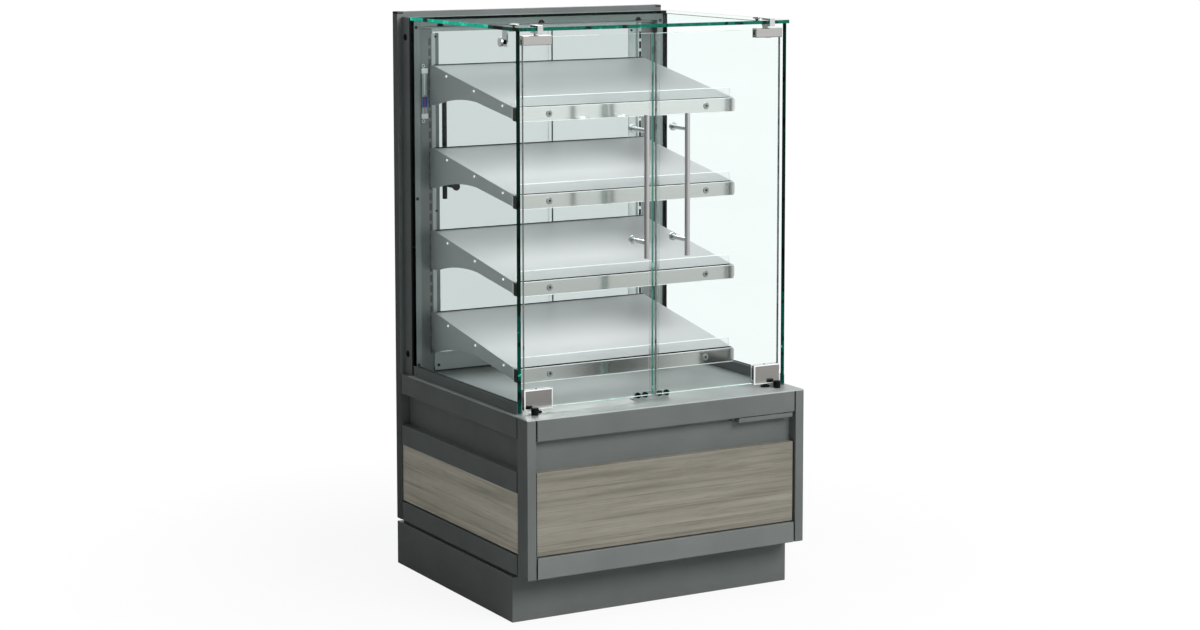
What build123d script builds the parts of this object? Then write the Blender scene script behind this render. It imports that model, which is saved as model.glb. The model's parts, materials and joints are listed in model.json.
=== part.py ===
from build123d import *
import os

# Heated self-service display case, free-standing, in millimetres.
# x is measured from the middle plane, z from the floor. Depths are written from the front
# face of the base posts towards the rear, and save() moves every piece so that the origin
# lies under the middle of the whole depth.

# Outside sizes and the faces that the rest is measured from
CASE_WIDTH = 735.0
CASE_HEIGHT = 1353.5
DECK_TOP = 476.6
PLINTH_HEIGHT = 105.2
PORTAL_FRONT = 660.0
DOOR_FACE = 67.0
HALF = CASE_WIDTH / 2

# Sheet, panel and pane thicknesses, fits, and the overshoot of cutting blocks
SHEET = 2.0
THIN_SHEET = 1.5
GLASS = 8.0
WOOD = 20.0
SIT = 0.2
PAD = 0.1
RUN = 0.3
CUT = 1.0

# Plinth and the foot of the base
PLINTH_FRONT = 75.0
PLINTH_END_GAP = 1.1
PLINTH_FLANGE = 25.0
SHADOW_GAP = 7.6
PAN_INSET = 12.0
BASE_BOTTOM = PLINTH_HEIGHT + SHADOW_GAP

# Front of the base
POST_WIDTH = 22.2
POST_DEPTH = 47.5
POST_GAP = 3.5
RAIL_HEIGHT = 48.2
WOOD_SETBACK = 5.5
WOOD_GAP = 3.0
WOOD_END_GAP = 1.0
FASCIA_HEIGHT = 48.0
RECESS_HEIGHT = 72.0
DECK_SHEET = 2.6
DECK_BEVEL = 2.0
FRONT_HALF = HALF - POST_WIDTH - POST_GAP
DECK_BOTTOM = DECK_TOP - DECK_SHEET
FASCIA_BOTTOM = DECK_BOTTOM - FASCIA_HEIGHT
WOOD_TOP = FASCIA_BOTTOM - RECESS_HEIGHT
RAIL_TOP = BASE_BOTTOM + RAIL_HEIGHT
RECESS_FACE = WOOD_SETBACK + WOOD

# Sides of the base
SIDE_FACE = 1.5
SIDE_FRONT = 56.0
SIDE_END_GAP = 3.0
SIDE_WOOD_FACE = 4.0
SIDE_RAIL_HEIGHT = 45.2
SIDE_WOOD_GAP = 4.0
SIDE_RECESS_HEIGHT = 77.0
SIDE_BAND_HEIGHT = 48.0
SIDE_BACK = PORTAL_FRONT - SIDE_END_GAP
SIDE_RAIL_TOP = BASE_BOTTOM + SIDE_RAIL_HEIGHT
SIDE_WOOD_BOTTOM = SIDE_RAIL_TOP + SIDE_WOOD_GAP
SIDE_RECESS_BOTTOM = FASCIA_BOTTOM - SIDE_RECESS_HEIGHT
SIDE_WOOD_TOP = SIDE_RECESS_BOTTOM - SIDE_BAND_HEIGHT
SIDE_RECESS_FACE = SIDE_WOOD_FACE + WOOD

# Crumb tray under the fascia
TRAY_WIDTH = 149.0
TRAY_END_GAP = 5.6
TRAY_GAP = 1.6
TRAY_HEIGHT = 10.1
TRAY_LENGTH = 225.0
TRAY_MARGIN = 2.6
TRAY_SLOT_LEAD = 30.2
TRAY_RIGHT = FRONT_HALF - TRAY_END_GAP
TRAY_LEFT = TRAY_RIGHT - TRAY_WIDTH
TRAY_SLOT_LEFT = TRAY_LEFT - TRAY_SLOT_LEAD
TRAY_TOP = FASCIA_BOTTOM - TRAY_GAP
TRAY_BOTTOM = TRAY_TOP - TRAY_HEIGHT

# Rear portal, columns and lining. A lead is how far a face stands in front of another.
PORTAL_DEPTH = 25.5
PORTAL_POST = 37.5
CROSSBAR_RISE = 11.4
CROSSBAR_HEIGHT = 48.0
PORTAL_FOOT = 37.2
COLUMN_FACE = 12.0
COLUMN_DEPTH = 42.0
COLUMN_DROP = 12.5
FLANGE_FACE = 20.5
FLANGE_LEAD = 3.3
GASKET_WIDTH = 8.0
BEAM_LEAD = 4.0
BEAM_DEPTH = 23.0
BEAM_NOTCH_R = 9.0
BEAM_NOTCH_INSET = 92.5
JAMB_EDGE = 103.0
JAMB_LEAD = 14.2
JAMB_END_GAP = 16.0
INNER_SIDE = PORTAL_POST
PORTAL_BACK = PORTAL_FRONT + PORTAL_DEPTH
PORTAL_BEAM_BOTTOM = CASE_HEIGHT - PORTAL_POST
CROSSBAR_TOP = DECK_TOP + CROSSBAR_RISE
PORTAL_CROSSBAR = (CROSSBAR_TOP - CROSSBAR_HEIGHT, CROSSBAR_TOP)
PORTAL_FOOT_TOP = BASE_BOTTOM + PORTAL_FOOT
PLINTH_BACK = PORTAL_BACK - PLINTH_END_GAP
COLUMN_FRONT = PORTAL_FRONT - COLUMN_DEPTH
COLUMN_TOP = CASE_HEIGHT - COLUMN_DROP
FLANGE_FRONT = COLUMN_FRONT - FLANGE_LEAD
BEAM_FACE = COLUMN_FRONT - BEAM_LEAD
BEAM_BOTTOM = COLUMN_TOP - BEAM_DEPTH
BEAM_NOTCH_PITCH = HALF - BEAM_NOTCH_INSET
JAMB_FRONT = PORTAL_FRONT - JAMB_LEAD
JAMB_BOTTOM = CROSSBAR_TOP + JAMB_END_GAP
JAMB_TOP = PORTAL_BEAM_BOTTOM - JAMB_END_GAP

# Glass box
SIDE_GLASS_FACE = 12.0
SIDE_GLASS_LEAD = 0.5
TOP_GLASS_LEAD = 13.0
GLASS_BOX_DROP = 19.0
SIDE_GASKET = 9.0
TOP_GASKET = 1.0
CHANNEL_FLOOR = 2.4
CHANNEL_HEIGHT = 24.9
CHANNEL_SETBACK = 1.0
CHANNEL_END_GAP = 4.0
CHANNEL_INNER_LEG = 4.0
GLASS_BOX_TOP = CASE_HEIGHT - GLASS_BOX_DROP
GLASS_FOOT = DECK_TOP + CHANNEL_FLOOR
SIDE_GLASS_FRONT = DOOR_FACE - SIDE_GLASS_LEAD
SIDE_GLASS_BACK = COLUMN_FRONT - SIDE_GASKET
TOP_GLASS_FRONT = DOOR_FACE - TOP_GLASS_LEAD
TOP_GLASS_BACK = BEAM_FACE - TOP_GASKET
CHANNEL_FRONT = DOOR_FACE + CHANNEL_SETBACK
CHANNEL_BACK = SIDE_GLASS_BACK - CHANNEL_END_GAP

# Corner connectors between the side glass and the top glass
LINK_DEPTH = 140.0
LINK_WIDTH = 22.0
LINK_REACH = 36.0
LINK_SIDE_DROP = 27.5
LINK_BOTTOM_DROP = 37.5
LINK_TOP_PLACE = 45.5
LINK_DISC_R = 10.5
LINK_PIN_R = 5.0
LINK_HOLE_R = 5.1
LINK_SIDE_HEIGHT = GLASS_BOX_TOP - LINK_SIDE_DROP
LINK_BOTTOM = GLASS_BOX_TOP - LINK_BOTTOM_DROP

# Slotted uprights
UPRIGHT_LEAD = 22.5
UPRIGHT_EDGE = 79.8
UPRIGHT_DROP = 4.0
SLOT_LEFT = 71.3
SLOT_RIGHT = 77.0
SLOT_HEIGHT = 17.5
SLOT_COUNT = 31
TOP_SLOT_DROP = 40.5
LAST_SLOT_RISE = 44.9
UPRIGHT_FACE = PORTAL_FRONT - UPRIGHT_LEAD
UPRIGHT_TOP = PORTAL_BEAM_BOTTOM - UPRIGHT_DROP
TOP_SLOT_BOTTOM = UPRIGHT_TOP - TOP_SLOT_DROP
LAST_SLOT_BOTTOM = DECK_TOP + LAST_SLOT_RISE
SLOT_PITCH = (TOP_SLOT_BOTTOM - LAST_SLOT_BOTTOM) / (SLOT_COUNT - 1)

# Lower back panel
BACK_PANEL_LEAD = 27.0
BACK_PANEL_RISE = 3.4
BACK_PANEL_HEIGHT = 44.0
BACK_PANEL_END_GAP = 1.0
BACK_PANEL_FRONT = PORTAL_FRONT - BACK_PANEL_LEAD
BACK_PANEL_BOTTOM = DECK_TOP + BACK_PANEL_RISE
BACK_PANEL_TOP = BACK_PANEL_BOTTOM + BACK_PANEL_HEIGHT

# Rear glazing
FIXED_PANE_LEAD = 12.0
PANE_SPACE = 4.6
TRACK_FLOOR = 3.0
TRACK_RIB = 12.0
TRACK_BACK_RIB = 3.8
PANE_OUTER_EDGE = 93.0
SLIDING_PANE_REACH = 56.5
FIXED_PANE_REACH = 36.5
FIXED_PANE_FRONT = PORTAL_FRONT - FIXED_PANE_LEAD
SLIDING_PANE_FRONT = FIXED_PANE_FRONT + GLASS + PANE_SPACE
SLIDING_PANE_BACK = SLIDING_PANE_FRONT + GLASS
TRACK_FRONT = BACK_PANEL_FRONT + SHEET
TRACK_BACK = SLIDING_PANE_BACK + SIT + TRACK_BACK_RIB
TRACK_BASE = CROSSBAR_TOP
PANE_BOTTOM = TRACK_BASE + TRACK_FLOOR
PANE_TOP = PORTAL_BEAM_BOTTOM - TRACK_FLOOR - RUN

# Front doors
DOOR_EDGE = 28.5
DOOR_BOTTOM_GAP = 11.4
DOOR_TOP_DROP = 13.5
DOOR_GAP = 4.0
SEAL_WALL = 1.2
SEAL_GRIP = 7.0
SEAL_GAP = 0.3
HINGE_PLACE = 62.5
PATCH_LEFT = 26.0
PATCH_RIGHT = 98.5
PATCH_PLATE = 4.5
PATCH_BAR = 8.0
PATCH_BEVEL = 1.2
BOTTOM_PATCH_RISES = (8.4, 54.4)
TOP_PATCH_DROPS = (31.9, 10.5)
PIN_R = 5.0
PIN_CLEARANCE = 0.05
PIVOT_FOOT_R = 11.0
PIVOT_FOOT = 4.0
CLAMP_WIDTH = 14.0
CLAMP_LIP = 5.0
CLAMP_DEPTH = 35.0
CLAMP_PLATE = 4.5
CLAMP_DROP = 5.5
DOOR_BACK = DOOR_FACE + GLASS
HINGE_DEPTH = DOOR_FACE + GLASS / 2
DOOR_BOTTOM = DECK_TOP + DOOR_BOTTOM_GAP
DOOR_TOP = GLASS_BOX_TOP - DOOR_TOP_DROP
BOTTOM_PATCH = (DECK_TOP + BOTTOM_PATCH_RISES[0], DECK_TOP + BOTTOM_PATCH_RISES[1])
TOP_PATCH = (GLASS_BOX_TOP - TOP_PATCH_DROPS[0], GLASS_BOX_TOP - TOP_PATCH_DROPS[1])
CLAMP_FRONT = TOP_GLASS_FRONT - CLAMP_LIP
CLAMP_BACK = CLAMP_FRONT + CLAMP_DEPTH
CLAMP_TOP = GLASS_BOX_TOP + GLASS + CLAMP_PLATE
CLAMP_BOTTOM = GLASS_BOX_TOP - CLAMP_DROP

# Handles
BAR_R = 6.0
BAR_REACH = 53.4
BAR_LENGTH = 326.0
STANDOFF_PITCH = 254.0
STANDOFF_R = 5.0
STANDOFF_HOLE_R = 5.1
WASHER_R = 9.5
WASHER = 4.0
DOOR_BAR_INSET = 53.5
DOOR_BAR_DROP = 343.0
REAR_BAR_PLACE = 154.0
REAR_BAR_DROP = 266.0
DOOR_BAR_MIDDLE = DOOR_TOP - DOOR_BAR_DROP
REAR_BAR_MIDDLE = PORTAL_BEAM_BOTTOM - REAR_BAR_DROP
CASE_DEPTH = SLIDING_PANE_BACK + BAR_REACH + BAR_R

# Door stops and catch plate
STOP_R = 8.5
STOP_HEIGHT = 17.0
STOP_PLACE = 44.5
STOP_LEAD = 19.5
CATCH_HALF = 46.5
CATCH_GAP = 7.0
CATCH_HEIGHT = 17.4
CATCH_FOOT = 20.0
BUFFER_R = 6.25
BUFFER_PLACES = (19.0, 38.2)
BUFFER_RISE = 11.4
CATCH_FACE = DOOR_BACK + CATCH_GAP
CATCH_TOP = DECK_TOP + CATCH_HEIGHT
BUFFER_HEIGHT = DECK_TOP + BUFFER_RISE

# Shelves. Bracket points are a distance in front of the uprights and a rise over the shelf's front edge.
SHELF_COUNT = 4
SLOTS_PER_SHELF = 8
SHELF_FRONT = 205.7
SHELF_BACK_GAP = 18.0
SHELF_FRONT_DROP = 116.9
SHELF_RISE = 70.1
SHELF_SKIRT = 18.0
SHELF_LIP = 2.0
BRACKET_PLACE = 75.0
BRACKET_SETBACK = 5.3
BRACKET_NOSE_DROP = 27.1
BRACKET_HEEL = (31.5, -25.6)
BRACKET_ARCH = (137.5, -5.1)
BRACKET_SPRING = (247.5, -2.1)
HOOK_SLOTS = (3, 5)
HOOK_HEIGHT = 10.0
HOOK_DROP = 6.0
RAIL_DEPTH = 17.0
RAIL_END = 79.0
RAIL_BAND_DROPS = (33.9, -0.3)
LUG = 5.0
STOP_SHEET = 2.4
STOP_PLAY = 0.3
STOP_RISE = 23.4
STOP_CORNER = 10.0
SHELF_PITCH = SLOTS_PER_SHELF * SLOT_PITCH
SHELF_BACK = UPRIGHT_FACE - SHELF_BACK_GAP
SHELF_FRONT_TOP = TOP_SLOT_BOTTOM - SHELF_FRONT_DROP
SHELF_BACK_TOP = SHELF_FRONT_TOP + SHELF_RISE
BRACKET_BACK = UPRIGHT_FACE - SIT
BRACKET_NOSE = SHELF_FRONT + BRACKET_SETBACK
RAIL_BACK = SHELF_FRONT - STOP_SHEET - STOP_PLAY
RAIL_FACE = RAIL_BACK - RAIL_DEPTH
RAIL_BAND = (SHELF_FRONT_TOP - RAIL_BAND_DROPS[0], SHELF_FRONT_TOP - RAIL_BAND_DROPS[1])
STOP_TOP = SHELF_FRONT_TOP + STOP_RISE

# Thermometer
THERMO_SPAN = (50.0, 68.0)
THERMO_BOTTOM_DROP = 58.6
THERMO_LENGTH = 121.0
THERMO_DEPTH = 5.5
THERMO_EYE_R = 4.0
THERMO_EYE_RISE = 7.0
THERMO_BOTTOM = SHELF_FRONT_TOP - THERMO_BOTTOM_DROP
THERMO_BAND = (THERMO_BOTTOM, THERMO_BOTTOM + THERMO_LENGTH)

# Heaters
DECK_HEATER_INSET = 87.5
DECK_HEATER_FRONT = 120.0
DECK_HEATER_LEAD = 100.0
DECK_HEATER = 8.0
SHELF_HEATER_INSET = 12.0
SHELF_HEATER = 12.0

# Service side. An inset is counted from the outer side of the case.
PANEL_SETBACK = 4.0
PANEL_EDGE = 12.5
VENT_COUNT = 9
VENT_PITCH = 14.0
VENT = (90.0, 5.0)
VENT_INSETS = (167.5, 307.5)
VENT_RISE = 50.0
CONTROL_INSETS = (277.5, 77.5)
CONTROL_DROPS = (130.0, 20.0)
CONTROL_DEPTH = 80.0
CONTROL_DROP = 70.0
KNOB_INSET = 137.5
KNOB_R = 19.0
KNOB_HEIGHT = 16.0
KNOB_SHAFT_R = 4.0
KNOB_SHAFT = 14.0
KNOB_FLUTE_R = 2.5
KNOB_FLUTES = 12
SWITCH_INSET = 217.5
SWITCH_HALF = 10.0
SWITCH_R = 14.0
SWITCH_FACE = 5.5
SWITCH_DEPTH = 3.5
SWITCH_TILT = 8.0
SWITCH_CLEARANCE = 0.25
PANEL_FACE = PORTAL_BACK - PANEL_SETBACK
VENT_BOTTOM = PORTAL_FOOT_TOP + VENT_RISE
CONTROL_BOX = (HALF - CONTROL_INSETS[0], HALF - CONTROL_INSETS[1])
CONTROL_BAND = (PORTAL_CROSSBAR[0] - CONTROL_DROPS[0], PORTAL_CROSSBAR[0] - CONTROL_DROPS[1])
KNOB_PLACE = (HALF - KNOB_INSET, PORTAL_CROSSBAR[0] - CONTROL_DROP)
SWITCH_PLACE = (HALF - SWITCH_INSET, PORTAL_CROSSBAR[0] - CONTROL_DROP)


def at(place):
    """x of a place that is measured from the left outer side of the case."""
    return place - HALF


def block(xs, ys, zs):
    """Box between two x places, two depths and two heights."""
    size = Box(xs[1] - xs[0], ys[1] - ys[0], zs[1] - zs[0])
    return Pos(sum(xs) / 2, sum(ys) / 2, sum(zs) / 2) * size


def rod_y(x, z, radius, ys):
    """Round rod along the depth."""
    rod = Rot(90, 0, 0) * Cylinder(radius, ys[1] - ys[0])
    return Pos(x, sum(ys) / 2, z) * rod


def rod_x(y, z, radius, xs):
    """Round rod across the case."""
    rod = Rot(0, 90, 0) * Cylinder(radius, xs[1] - xs[0])
    return Pos(sum(xs) / 2, y, z) * rod


def rod_z(x, y, radius, zs):
    """Upright round rod."""
    return Pos(x, y, sum(zs) / 2) * Cylinder(radius, zs[1] - zs[0])


def tube(xs, ys, zs, wall=SHEET):
    """Upright box section, open at its foot."""
    inside = block((xs[0] + wall, xs[1] - wall), (ys[0] + wall, ys[1] - wall), (zs[0] - CUT, zs[1] - wall))
    return block(xs, ys, zs) - inside


def right(part):
    """The same piece on the right side."""
    return mirror(part, about=Plane.YZ)


# Base
def plinth():
    """Folded skirt on the floor, with a flange turned in at its foot and its top."""
    ys = (PLINTH_FRONT, PLINTH_BACK)
    skirt = block((-HALF, HALF), ys, (0, PLINTH_HEIGHT))
    room = block((-HALF + SHEET, HALF - SHEET), (ys[0] + SHEET, ys[1] - SHEET),
                 (SHEET, PLINTH_HEIGHT - SHEET))
    edge = PLINTH_FLANGE
    mouth = block((-HALF + edge, HALF - edge), (ys[0] + edge, ys[1] - edge), (-CUT, PLINTH_HEIGHT + CUT))
    return skirt - room - mouth


def base_pan():
    """Floor of the base with a down-turned rim that stands on the plinth and leaves a shadow gap."""
    floor = block((at(SIDE_RECESS_FACE + SHEET), -at(SIDE_RECESS_FACE + SHEET)),
                  (RECESS_FACE + SHEET, PORTAL_FRONT), (BASE_BOTTOM, BASE_BOTTOM + SHEET))
    rim_x = HALF - PAN_INSET
    ys = (PLINTH_FRONT + PAN_INSET, PLINTH_BACK - PAN_INSET)
    rim = block((-rim_x, rim_x), ys, (PLINTH_HEIGHT, BASE_BOTTOM))
    rim -= block((-rim_x + PLINTH_FLANGE / 2, rim_x - PLINTH_FLANGE / 2),
                 (ys[0] + PLINTH_FLANGE / 2, ys[1] - PLINTH_FLANGE / 2),
                 (PLINTH_HEIGHT - CUT, BASE_BOTTOM + CUT))
    return floor + rim


def front_post():
    """Box-section post at the front corner of the base."""
    return tube((-HALF, -HALF + POST_WIDTH), (0, POST_DEPTH), (BASE_BOTTOM, DECK_BOTTOM))


def fascia():
    """Plain front band under the deck, with a flange turned back at its foot."""
    band = block((-FRONT_HALF, FRONT_HALF), (0, SHEET), (FASCIA_BOTTOM, DECK_BOTTOM))
    foot = block((-FRONT_HALF, FRONT_HALF), (0, RECESS_FACE + SHEET), (FASCIA_BOTTOM, FASCIA_BOTTOM + SHEET))
    head = block((-FRONT_HALF, FRONT_HALF), (0, PLINTH_FLANGE), (DECK_BOTTOM - SHEET, DECK_BOTTOM))
    return band + foot + head


def front_recess():
    """Set-back sheet between the posts, with the slot that the tray slides through."""
    edge = HALF - POST_WIDTH
    sheet = block((-edge, edge), (RECESS_FACE, RECESS_FACE + SHEET), (BASE_BOTTOM, FASCIA_BOTTOM))
    slot = block((TRAY_SLOT_LEFT, TRAY_RIGHT + RUN), (RECESS_FACE - CUT, RECESS_FACE + SHEET + CUT),
                 (TRAY_BOTTOM - RUN, TRAY_TOP + RUN))
    return sheet - slot


def front_wood():
    """Wood-grain panel between the posts."""
    edge = FRONT_HALF - WOOD_END_GAP
    return block((-edge, edge), (WOOD_SETBACK, RECESS_FACE), (RAIL_TOP + WOOD_GAP, WOOD_TOP))


def front_rail():
    """Folded rail along the foot of the front."""
    rail = block((-FRONT_HALF, FRONT_HALF), (0, RECESS_FACE), (BASE_BOTTOM, RAIL_TOP))
    room = block((-FRONT_HALF - CUT, FRONT_HALF + CUT), (SHEET, RECESS_FACE + CUT),
                 (BASE_BOTTOM + SHEET, RAIL_TOP - SHEET))
    return rail - room


def side_frame():
    """Back sheet of the base side with three folded rails that stand out from it."""
    ys = (SIDE_FRONT, SIDE_BACK)
    frame = block((at(SIDE_RECESS_FACE), at(SIDE_RECESS_FACE + SHEET)), ys, (BASE_BOTTOM, DECK_BOTTOM))
    bands = ((BASE_BOTTOM, SIDE_RAIL_TOP), (SIDE_WOOD_TOP, SIDE_RECESS_BOTTOM), (FASCIA_BOTTOM, DECK_BOTTOM))
    for low, high in bands:
        rail = block((at(SIDE_FACE), at(SIDE_RECESS_FACE)), ys, (low, high))
        rail -= block((at(SIDE_FACE) + SHEET, at(SIDE_RECESS_FACE) + CUT),
                      (ys[0] + SHEET, ys[1] - SHEET), (low + SHEET, high - SHEET))
        frame += rail
    return frame


def side_wood():
    """Wood-grain panel between the two lower rails of the side."""
    return block((at(SIDE_WOOD_FACE), at(SIDE_RECESS_FACE)), (SIDE_FRONT, SIDE_BACK),
                 (SIDE_WOOD_BOTTOM, SIDE_WOOD_TOP))


def deck():
    """Floor of the warm space and door sill in one sheet, bevelled at the front."""
    sheet = block((-HALF, HALF), (0, BACK_PANEL_FRONT), (DECK_BOTTOM, DECK_TOP))
    sheet = chamfer(sheet.edges().filter_by(Axis.X).group_by(Axis.Z)[-1].sort_by(Axis.Y)[0], DECK_BEVEL)
    corner = block((-HALF - CUT, at(INNER_SIDE)), (FLANGE_FRONT, BACK_PANEL_FRONT + CUT),
                   (DECK_BOTTOM - CUT, DECK_TOP + CUT))
    return sheet - corner - right(corner)


def deck_heater():
    """Flat heater under the deck."""
    half = HALF - DECK_HEATER_INSET
    ys = (DECK_HEATER_FRONT, PORTAL_FRONT - DECK_HEATER_LEAD)
    return block((-half, half), ys, (DECK_BOTTOM - DECK_HEATER, DECK_BOTTOM))


def tray():
    """Shallow tray with a front lip to pull it by."""
    lip = block((TRAY_LEFT, TRAY_RIGHT), (0, SHEET), (TRAY_BOTTOM, TRAY_TOP))
    side = (TRAY_LEFT + TRAY_MARGIN, TRAY_RIGHT - TRAY_MARGIN)
    body = block(side, (SHEET, TRAY_LENGTH), (TRAY_BOTTOM, TRAY_TOP - SHEET))
    body -= block((side[0] + THIN_SHEET, side[1] - THIN_SHEET), (SHEET, TRAY_LENGTH - THIN_SHEET),
                  (TRAY_BOTTOM + THIN_SHEET, TRAY_TOP))
    return lip + body


def tray_guide():
    """Open channel behind the front that carries the tray."""
    inner = (TRAY_LEFT + TRAY_MARGIN - RUN, TRAY_RIGHT - TRAY_MARGIN + RUN)
    zs = (TRAY_BOTTOM - SIT - SHEET, TRAY_TOP + RUN)
    ys = (RECESS_FACE + SHEET, TRAY_LENGTH + RUN + SHEET)
    guide = block((inner[0] - SHEET, inner[1] + SHEET), ys, zs)
    room = block(inner, (ys[0] - CUT, ys[1] - SHEET), (zs[0] + SHEET, zs[1] + CUT))
    return guide - room


# Glass box
def glass_channel():
    """Channel on the deck that holds the foot of the side glass."""
    outer = at(SIDE_GLASS_FACE) - SHEET
    inner = at(SIDE_GLASS_FACE + GLASS) + CHANNEL_INNER_LEG
    channel = block((outer, inner), (CHANNEL_FRONT, CHANNEL_BACK), (DECK_TOP, DECK_TOP + CHANNEL_HEIGHT))
    groove = block((at(SIDE_GLASS_FACE), at(SIDE_GLASS_FACE + GLASS)),
                   (CHANNEL_FRONT - CUT, CHANNEL_BACK + CUT), (GLASS_FOOT, DECK_TOP + CHANNEL_HEIGHT + CUT))
    return channel - groove


def side_glass():
    """Side pane with the hole of its corner connector."""
    xs = (at(SIDE_GLASS_FACE), at(SIDE_GLASS_FACE + GLASS))
    pane = block(xs, (SIDE_GLASS_FRONT, SIDE_GLASS_BACK), (GLASS_FOOT, GLASS_BOX_TOP))
    return pane - rod_x(LINK_DEPTH, LINK_SIDE_HEIGHT, LINK_HOLE_R, (xs[0] - CUT, xs[1] + CUT))


def top_glass():
    """Top pane, resting on both side panes."""
    edge = at(SIDE_GLASS_FACE)
    pane = block((edge, -edge), (TOP_GLASS_FRONT, TOP_GLASS_BACK), (GLASS_BOX_TOP, GLASS_BOX_TOP + GLASS))
    hole = rod_z(at(LINK_TOP_PLACE), LINK_DEPTH, LINK_HOLE_R,
                 (GLASS_BOX_TOP - CUT, GLASS_BOX_TOP + GLASS + CUT))
    return pane - hole - right(hole)


def glass_connector():
    """Angle in the corner, clamped through the side glass and through the top glass."""
    inner = at(SIDE_GLASS_FACE + GLASS) + PAD
    outer = at(SIDE_GLASS_FACE) - PAD
    below = GLASS_BOX_TOP - PAD
    above = GLASS_BOX_TOP + GLASS + PAD
    ys = (LINK_DEPTH - LINK_WIDTH / 2, LINK_DEPTH + LINK_WIDTH / 2)
    upright = block((inner, inner + WASHER), ys, (LINK_BOTTOM, below))
    shelf = block((inner, inner + LINK_REACH), ys, (below - WASHER, below))
    side_pin = rod_x(LINK_DEPTH, LINK_SIDE_HEIGHT, LINK_PIN_R, (outer, inner))
    side_cap = rod_x(LINK_DEPTH, LINK_SIDE_HEIGHT, LINK_DISC_R, (outer - WASHER, outer))
    top_pin = rod_z(at(LINK_TOP_PLACE), LINK_DEPTH, LINK_PIN_R, (below, above))
    top_cap = rod_z(at(LINK_TOP_PLACE), LINK_DEPTH, LINK_DISC_R, (above, above + WASHER))
    return upright + shelf + side_pin + side_cap + top_pin + top_cap


# Rear frame
def portal_shape(inset):
    """Outer outline and two openings of the rear frame, moved in by the wall thickness."""
    outer = HALF - inset
    side = HALF - PORTAL_POST + inset
    foot = BASE_BOTTOM if inset == 0 else BASE_BOTTOM - CUT
    ys = (PORTAL_FRONT + inset, PORTAL_BACK - inset)
    cut = (PORTAL_FRONT - CUT, PORTAL_BACK + CUT)
    shape = block((-outer, outer), ys, (foot, CASE_HEIGHT - inset))
    shape -= block((-side, side), cut, (PORTAL_CROSSBAR[1] - inset, PORTAL_BEAM_BOTTOM + inset))
    shape -= block((-side, side), cut, (PORTAL_FOOT_TOP - inset, PORTAL_CROSSBAR[0] + inset))
    return shape


def portal():
    """Box-section frame over the whole rear, open inside from post to post."""
    return portal_shape(0) - portal_shape(SHEET)


def column():
    """Box column in front of the portal post, with its lining flange and the rear jamb."""
    post = tube((at(COLUMN_FACE), at(INNER_SIDE)), (COLUMN_FRONT, PORTAL_FRONT), (DECK_BOTTOM, COLUMN_TOP))
    flange = block((at(FLANGE_FACE), at(INNER_SIDE)), (FLANGE_FRONT, COLUMN_FRONT), (DECK_BOTTOM, COLUMN_TOP))
    jamb = block((at(INNER_SIDE), at(JAMB_EDGE)), (JAMB_FRONT, JAMB_FRONT + SHEET), (JAMB_BOTTOM, JAMB_TOP))
    lip = block((at(JAMB_EDGE) - SHEET, at(JAMB_EDGE)), (JAMB_FRONT, FIXED_PANE_FRONT - SIT),
                (JAMB_BOTTOM, JAMB_TOP))
    return post + flange + jamb + lip


def sliding_side_lip():
    """Deep lip of the left jamb, which reaches back to the sliding pane."""
    return block((at(JAMB_EDGE) - SHEET, at(JAMB_EDGE)), (JAMB_FRONT, SLIDING_PANE_FRONT - RUN),
                 (JAMB_BOTTOM, JAMB_TOP))


def gasket():
    """Soft strip between the glass box and the rear frame, up one side, across and down."""
    inner = at(SIDE_GLASS_FACE + GASKET_WIDTH)
    leg = block((at(SIDE_GLASS_FACE), inner), (SIDE_GLASS_BACK, COLUMN_FRONT), (DECK_TOP, GLASS_BOX_TOP))
    across = block((at(SIDE_GLASS_FACE), -at(SIDE_GLASS_FACE)), (TOP_GLASS_BACK, BEAM_FACE),
                   (GLASS_BOX_TOP, COLUMN_TOP))
    tie = block((at(SIDE_GLASS_FACE), inner), (TOP_GLASS_BACK, COLUMN_FRONT), (GLASS_BOX_TOP, COLUMN_TOP))
    return leg + right(leg) + across + tie + right(tie)


def inner_beam():
    """Front sheet of the head, notched along its lower edge, with a top flange to the portal."""
    edge = at(INNER_SIDE)
    face = block((edge, -edge), (BEAM_FACE, BEAM_FACE + SHEET), (BEAM_BOTTOM, COLUMN_TOP))
    head = block((edge, -edge), (BEAM_FACE, PORTAL_FRONT), (COLUMN_TOP - SHEET, COLUMN_TOP))
    cut = (BEAM_FACE - CUT, BEAM_FACE + SHEET + CUT)
    for step in (-1, 0, 1):
        face -= rod_y(step * BEAM_NOTCH_PITCH, BEAM_BOTTOM, BEAM_NOTCH_R, cut)
    return face + head


def slot_bottom(index):
    """Height of the lower end of a slot, counted down from the top one."""
    return TOP_SLOT_BOTTOM - index * SLOT_PITCH


def upright():
    """Slotted sheet that the shelves hook into, with a return that rests on the jamb."""
    sheet = block((at(INNER_SIDE), at(UPRIGHT_EDGE)), (UPRIGHT_FACE, UPRIGHT_FACE + SHEET),
                  (DECK_TOP, UPRIGHT_TOP))
    fold = block((at(UPRIGHT_EDGE) - SHEET, at(UPRIGHT_EDGE)), (UPRIGHT_FACE, JAMB_FRONT),
                 (JAMB_BOTTOM, UPRIGHT_TOP))
    for index in range(SLOT_COUNT):
        low = slot_bottom(index)
        sheet -= block((at(SLOT_LEFT), at(SLOT_RIGHT)), (UPRIGHT_FACE - CUT, UPRIGHT_FACE + SHEET + CUT),
                       (low, low + SLOT_HEIGHT))
    return sheet + fold


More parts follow.
